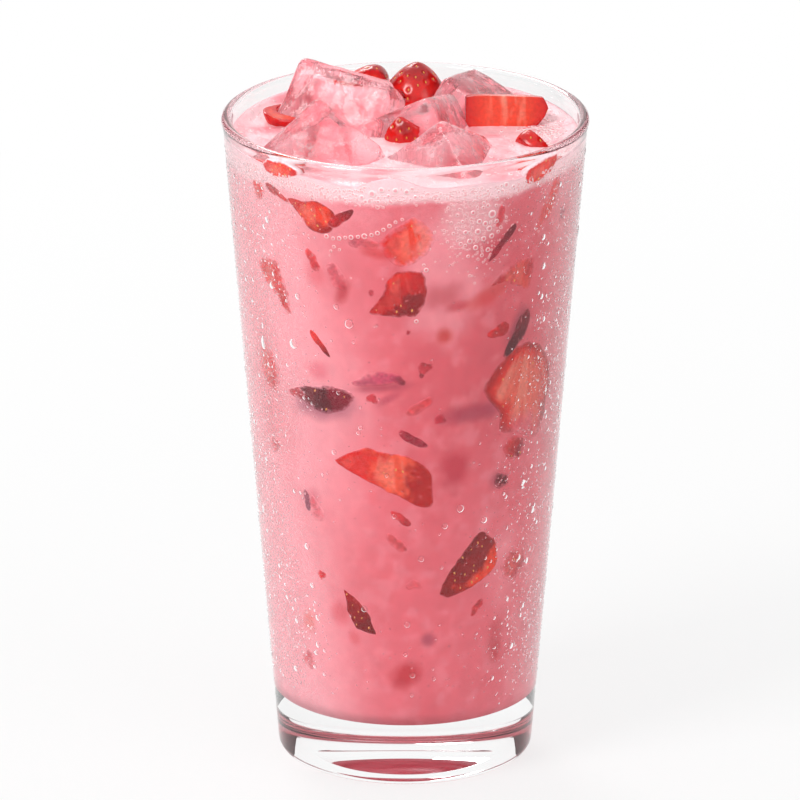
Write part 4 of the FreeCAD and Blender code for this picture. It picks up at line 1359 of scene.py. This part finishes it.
# Drops large enough to tell apart: azimuth, height, width, length
LARGE_DROPS = [
    (-50.5, 143.2, 1.5, 1.8), (-52.5, 141.0, 1.2, 1.4), (-50.6, 126.4, 1.6, 1.9), (-49.4, 129.6, 1.0, 1.2),
    (-38.6, 125.6, 1.5, 1.7), (-23.6, 124.8, 1.3, 1.5), (-19.2, 120.8, 2.3, 2.5), (-58.2, 110.4, 2.1, 3.7),
    (-41.8, 113.0, 2.3, 2.7), (-41.5, 60.6, 1.5, 1.8), (-39.8, 50.6, 1.3, 1.6), (-38.0, 42.4, 1.4, 1.7),
    (-50.4, 39.8, 1.2, 1.5), (-53.6, 26.6, 1.4, 1.6), (51.2, 138.6, 1.4, 1.7), (52.4, 131.0, 1.5, 1.8),
    (52.6, 123.2, 1.3, 1.6), (55.0, 117.0, 1.2, 1.5), (84.0, 133.0, 1.8, 3.0), (49.6, 75.8, 1.5, 1.7),
    (57.4, 67.4, 1.6, 1.9), (56.0, 54.4, 1.3, 1.6), (49.8, 33.2, 1.5, 1.7), (21.0, 72.8, 2.0, 2.1),
    (15.2, 68.6, 1.4, 1.5), (31.4, 68.8, 1.7, 1.8), (6.2, 60.4, 1.5, 1.6), (0.8, 43.2, 1.5, 1.6),
    (3.0, 29.8, 1.4, 1.5), (-26.8, 87.0, 1.3, 1.4), (-16.6, 46.8, 1.5, 1.7), (50.6, 56.2, 1.4, 1.6),
    (-38.8, 35.2, 1.4, 1.7), (-38.4, 99.6, 1.0, 1.1), (-24.0, 102.6, 1.1, 1.2), (-35.0, 98.6, 0.9, 1.0),
    (-112.0, 118.0, 1.8, 2.6), (104.0, 96.0, 1.6, 2.2), (160.0, 130.0, 1.8, 2.2), (-160.0, 72.0, 1.6, 2.0),
    (132.0, 58.0, 1.5, 1.8), (-84.0, 98.0, 1.4, 2.0), (88.0, 62.0, 1.4, 1.8), (-92.0, 58.0, 1.5, 1.9),
]


DROP_SUNK = 0.02    # how far a drop's base lies inside the glass


def drop_shape(rings, columns):
    """A low drop on a wall, 1 wide: a cap that is rounder near its edge, with a closed base just inside."""
    share = np.linspace(0, 1, rings + 1)[1:, None]
    t = np.linspace(0, 2 * np.pi, columns, endpoint=False)
    u = 0.5 * share * np.cos(t)
    v = 0.5 * share * np.sin(t)
    w = 0.22 * np.sqrt(np.clip(1 - share**2.4, 0, None)) + 0 * t
    cap = np.stack([u, v, w], -1).reshape(-1, 3)
    points = np.concatenate([cap, [[0, 0, 0.22], [0, 0, -0.02]]])
    tris = np.concatenate([
        halves(grid_faces(rings, columns)),
        cap_faces(np.arange(columns), len(points) - 2, turned=True),
        cap_faces(np.arange(columns) + (rings - 1) * columns, len(points) - 1),
    ])
    return points, tris


def place_drops(name, azimuth, height, width, length, rings, columns, water):
    """Drops on the outside of the wall as one mesh, each a little uneven."""
    shape, tris = drop_shape(rings, columns)
    u = shape[None, :, 0] * width[:, None]
    v = shape[None, :, 1] * length[:, None]
    v = v - 0.12 * (length - width)[:, None] * (1 - (2 * shape[None, :, 1]) ** 2)
    z = height[:, None] + v
    sway = 1 + 0.16 * noise(np.stack([u + azimuth[:, None], v + 0 * u, z], -1), 0.9, 131)
    a = azimuth[:, None] + np.degrees(u * sway / outside_radius(z))
    r = outside_radius(z) + shape[None, :, 2] * width[:, None] - DROP_SUNK
    points = round_z(r, np.radians(a), z)
    piece = mesh_object(name, points, [repeated(tris, len(width), len(shape))])
    piece.data.materials.append(water)
    belongs(piece, "glass")
    return piece


def strewn_drops(generator, count, sizes, power, inside):
    """Azimuths, heights and sizes of drops strewn over the wall: thick at the sides, of which inside is the
    share left over the front, thinner behind, in clouds, and none by the base. A high power makes most of the
    sizes small."""
    a = generator.uniform(-180, 180, count)
    z = generator.uniform(FLOOR + 2, GLASS_HEIGHT - 6, count)
    size = sizes[0] + (sizes[1] - sizes[0]) * generator.random(count) ** power
    side = step(24, 60, np.abs(a)) * (0.35 + 0.65 * step(150, 110, np.abs(a)))
    cloud = step(-0.7, 0.5, rough(on_wall(a, z), 16, 2, 141) + 0.5 * side)
    chance = (inside + (1 - inside) * side) * cloud * step(FLOOR + 1, FLOOR + 14, z)
    keep = generator.random(count) < chance
    return a[keep], z[keep], size[keep]


def make_condensation():
    """Condensed water on the outside: mist of tiny drops that is thick at the sides, drops between, large
    ones."""
    water = water_material()
    generator = np.random.default_rng(41)
    a, z, size = strewn_drops(generator, 34000, (0.24, 0.72), 2.2, 0.04)
    place_drops("condensation_mist", a, z, size, size, 1, 6, water)
    a, z, size = strewn_drops(generator, 2200, (0.55, 1.25), 3.0, 0.12)
    length = size * generator.uniform(1.0, 1.25, len(size))
    place_drops("condensation_drops", a, z, size, length, 4, 12, water)
    place_drops("condensation_large_drops", *np.array(LARGE_DROPS).T, 9, 28, water)


# ---------------------------------------------------------------- camera, light, ground

CAMERA_REACH = 2.5                                  # metres from the point it is aimed at
CAMERA_TILT = math.radians(18.87)                   # above the level
CAMERA_AIM = np.array([-1.26, 0.0, 88.57]) * MM     # so that the glass fills the frame
CAMERA_LENS = 464.85                                # millimetres on a sensor 36 wide


def make_camera():
    """A camera in front and a little above, that frames the whole glass."""
    lens = bpy.data.cameras.new("camera")
    lens.lens = CAMERA_LENS
    lens.sensor_width = 36
    lens.clip_start = 0.01
    lens.clip_end = 20
    camera = bpy.data.objects.new("camera", lens)
    bpy.context.scene.collection.objects.link(camera)
    away = np.array([0, -math.cos(CAMERA_TILT), math.sin(CAMERA_TILT)])
    camera.location = CAMERA_AIM + CAMERA_REACH * away
    camera.rotation_euler = (math.pi / 2 - CAMERA_TILT, 0, 0)
    bpy.context.scene.camera = camera


def lamp(name, place, aim, size, power):
    """A square white lamp, size mm wide, that shines from a place to a point it is aimed at, both in mm."""
    light = bpy.data.lights.new(name, "AREA")
    light.size = size * MM
    light.energy = power
    holder = bpy.data.objects.new(name, light)
    bpy.context.scene.collection.objects.link(holder)
    away = np.array(place, float) - np.array(aim, float)
    holder.location = np.array(place, float) * MM
    holder.rotation_euler = (
        math.atan2(math.hypot(away[0], away[1]), away[2]), 0, math.atan2(away[0], -away[1])
    )


def seen_white(tree):
    """1 for the rays that show the background: to the camera, mirrored, and through clear things."""
    path = node(tree, "LightPath")
    mirrored = node(tree, "Math", {"operation": "MAXIMUM"}, i0=path.outputs["Is Camera Ray"],
                    i1=path.outputs["Is Glossy Ray"])
    return node(tree, "Math", {"operation": "MAXIMUM"}, i0=mirrored.outputs[0],
                i1=path.outputs["Is Transmission Ray"])


def make_world(level):
    """White all round where it is seen, and a plain level of light on the object."""
    world = bpy.data.worlds.new("studio")
    world.use_nodes = True
    tree = world.node_tree
    tree.nodes.clear()
    seen = seen_white(tree)
    strength = node(tree, "MapRange", Value=seen.outputs[0], i1=0.0, i2=1.0, i3=level, i4=1.0)
    back = node(tree, "Background", Color=(1, 1, 1, 1), Strength=strength.outputs[0])
    output = tree.nodes.new("ShaderNodeOutputWorld")
    tree.links.new(back.outputs[0], output.inputs["Surface"])
    bpy.context.scene.world = world


def stage_object(name, points, faces, made):
    """A thing round the object that isn't part of it."""
    thing = mesh_object(name, points, faces)
    thing.data.materials.append(made)
    return thing


def make_ground():
    """A white table: plain white where it is seen, a soft bounce to the rest, and the object's shadow near
    it."""
    made, tree, paint, output = material("white table", "BsdfDiffuse", Color=colour4("#e8e8e8"))
    place = node(tree, "TexCoord")
    reach = node(tree, "VectorMath", {"operation": "LENGTH"}, i0=place.outputs["Object"])
    # Metres from the middle of the glass: a quarter of the table's white is lit paint there, and none far out
    share = node(tree, "MapRange", Value=reach.outputs["Value"], i1=0.08, i2=0.5, i3=0.75, i4=1.0)
    seen = node(tree, "Math", {"operation": "MULTIPLY"}, i0=seen_white(tree).outputs[0], i1=share.outputs[0])
    glow = node(tree, "Emission", Color=(1, 1, 1, 1), Strength=1.0)
    blend = node(tree, "MixShader", i0=seen.outputs[0], i1=paint.outputs[0], i2=glow.outputs[0])
    tree.links.new(blend.outputs[0], output.inputs["Surface"])
    half, height = 900, -0.2
    corners = [[-half, -half, height], [half, -half, height], [half, half, height], [-half, half, height]]
    stage_object("table", corners, [np.array([[0, 1, 2, 3]])], made)


def dark_card(name, corners, hexcode, mirrored=False):
    """A dark card beside the object, seen only through clear things, whose edges it darkens as black card
    beside glass does, and in mirrors if mirrored is set."""
    made = material(name, "BsdfDiffuse", Color=colour4(hexcode))[0]
    card = stage_object(name, corners, [np.array([[0, 1, 2, 3]])], made)
    card.visible_camera = False
    card.visible_shadow = False
    card.visible_diffuse = False
    card.visible_glossy = mirrored


def upright(x, y, z):
    """Corners of an upright card at x, from y[0] to y[1] and from z[0] to z[1]."""
    return [[x, y[0], z[0]], [x, y[1], z[0]], [x, y[1], z[1]], [x, y[0], z[1]]]


def make_cards():
    """Dark cards at both sides of the glass: standing low, high and above the rim, and lying beside the
    foot."""
    for side, label in ((-1, "left"), (1, "right")):
        far, near = 150 * side, 62 * side
        dark_card("low dark card at the " + label, upright(far, (20, 150), (-20, 110)), "#1a1416")
        dark_card("high dark card at the " + label, upright(near, (-5, 80), (120, 158)), "#5e2a34")
        dark_card("dark card above at the " + label, upright(near, (-25, 80), (158, 230)), "#1c1416", True)
        for start, end, shade in ((26, 44, "#2c282a"), (50, 78, "#a09a9c")):
            corners = [[reach * side * math.sin(math.radians(t)), reach * math.cos(math.radians(t)), -0.1]
                       for reach, t in ((24, start), (24, end), (130, end), (130, start))]
            dark_card("narrow card at the " + label, corners, shade)


make_camera()
make_world(0.5)
make_ground()
lamp("key from the left", (-800, -700, 1200), (0, 0, 90), 500, 11.1)
lamp("light from behind", (-300, 900, 900), (0, 0, 120), 400, 5.6)
lamp("fill from the right", (1000, -800, 700), (0, 0, 90), 900, 4.2)
make_cards()

make_glass()
make_drink()
make_froth([triangles_of(name) for name in ICE_NODES])
make_ice()
make_fruit()
make_sunk_pieces()
make_bubbles()
place_top_bubbles([triangles_of(name) for name in ICE_NODES + FRUIT_NODES])
make_condensation()

bpy.context.scene.view_settings.view_transform = "Standard"
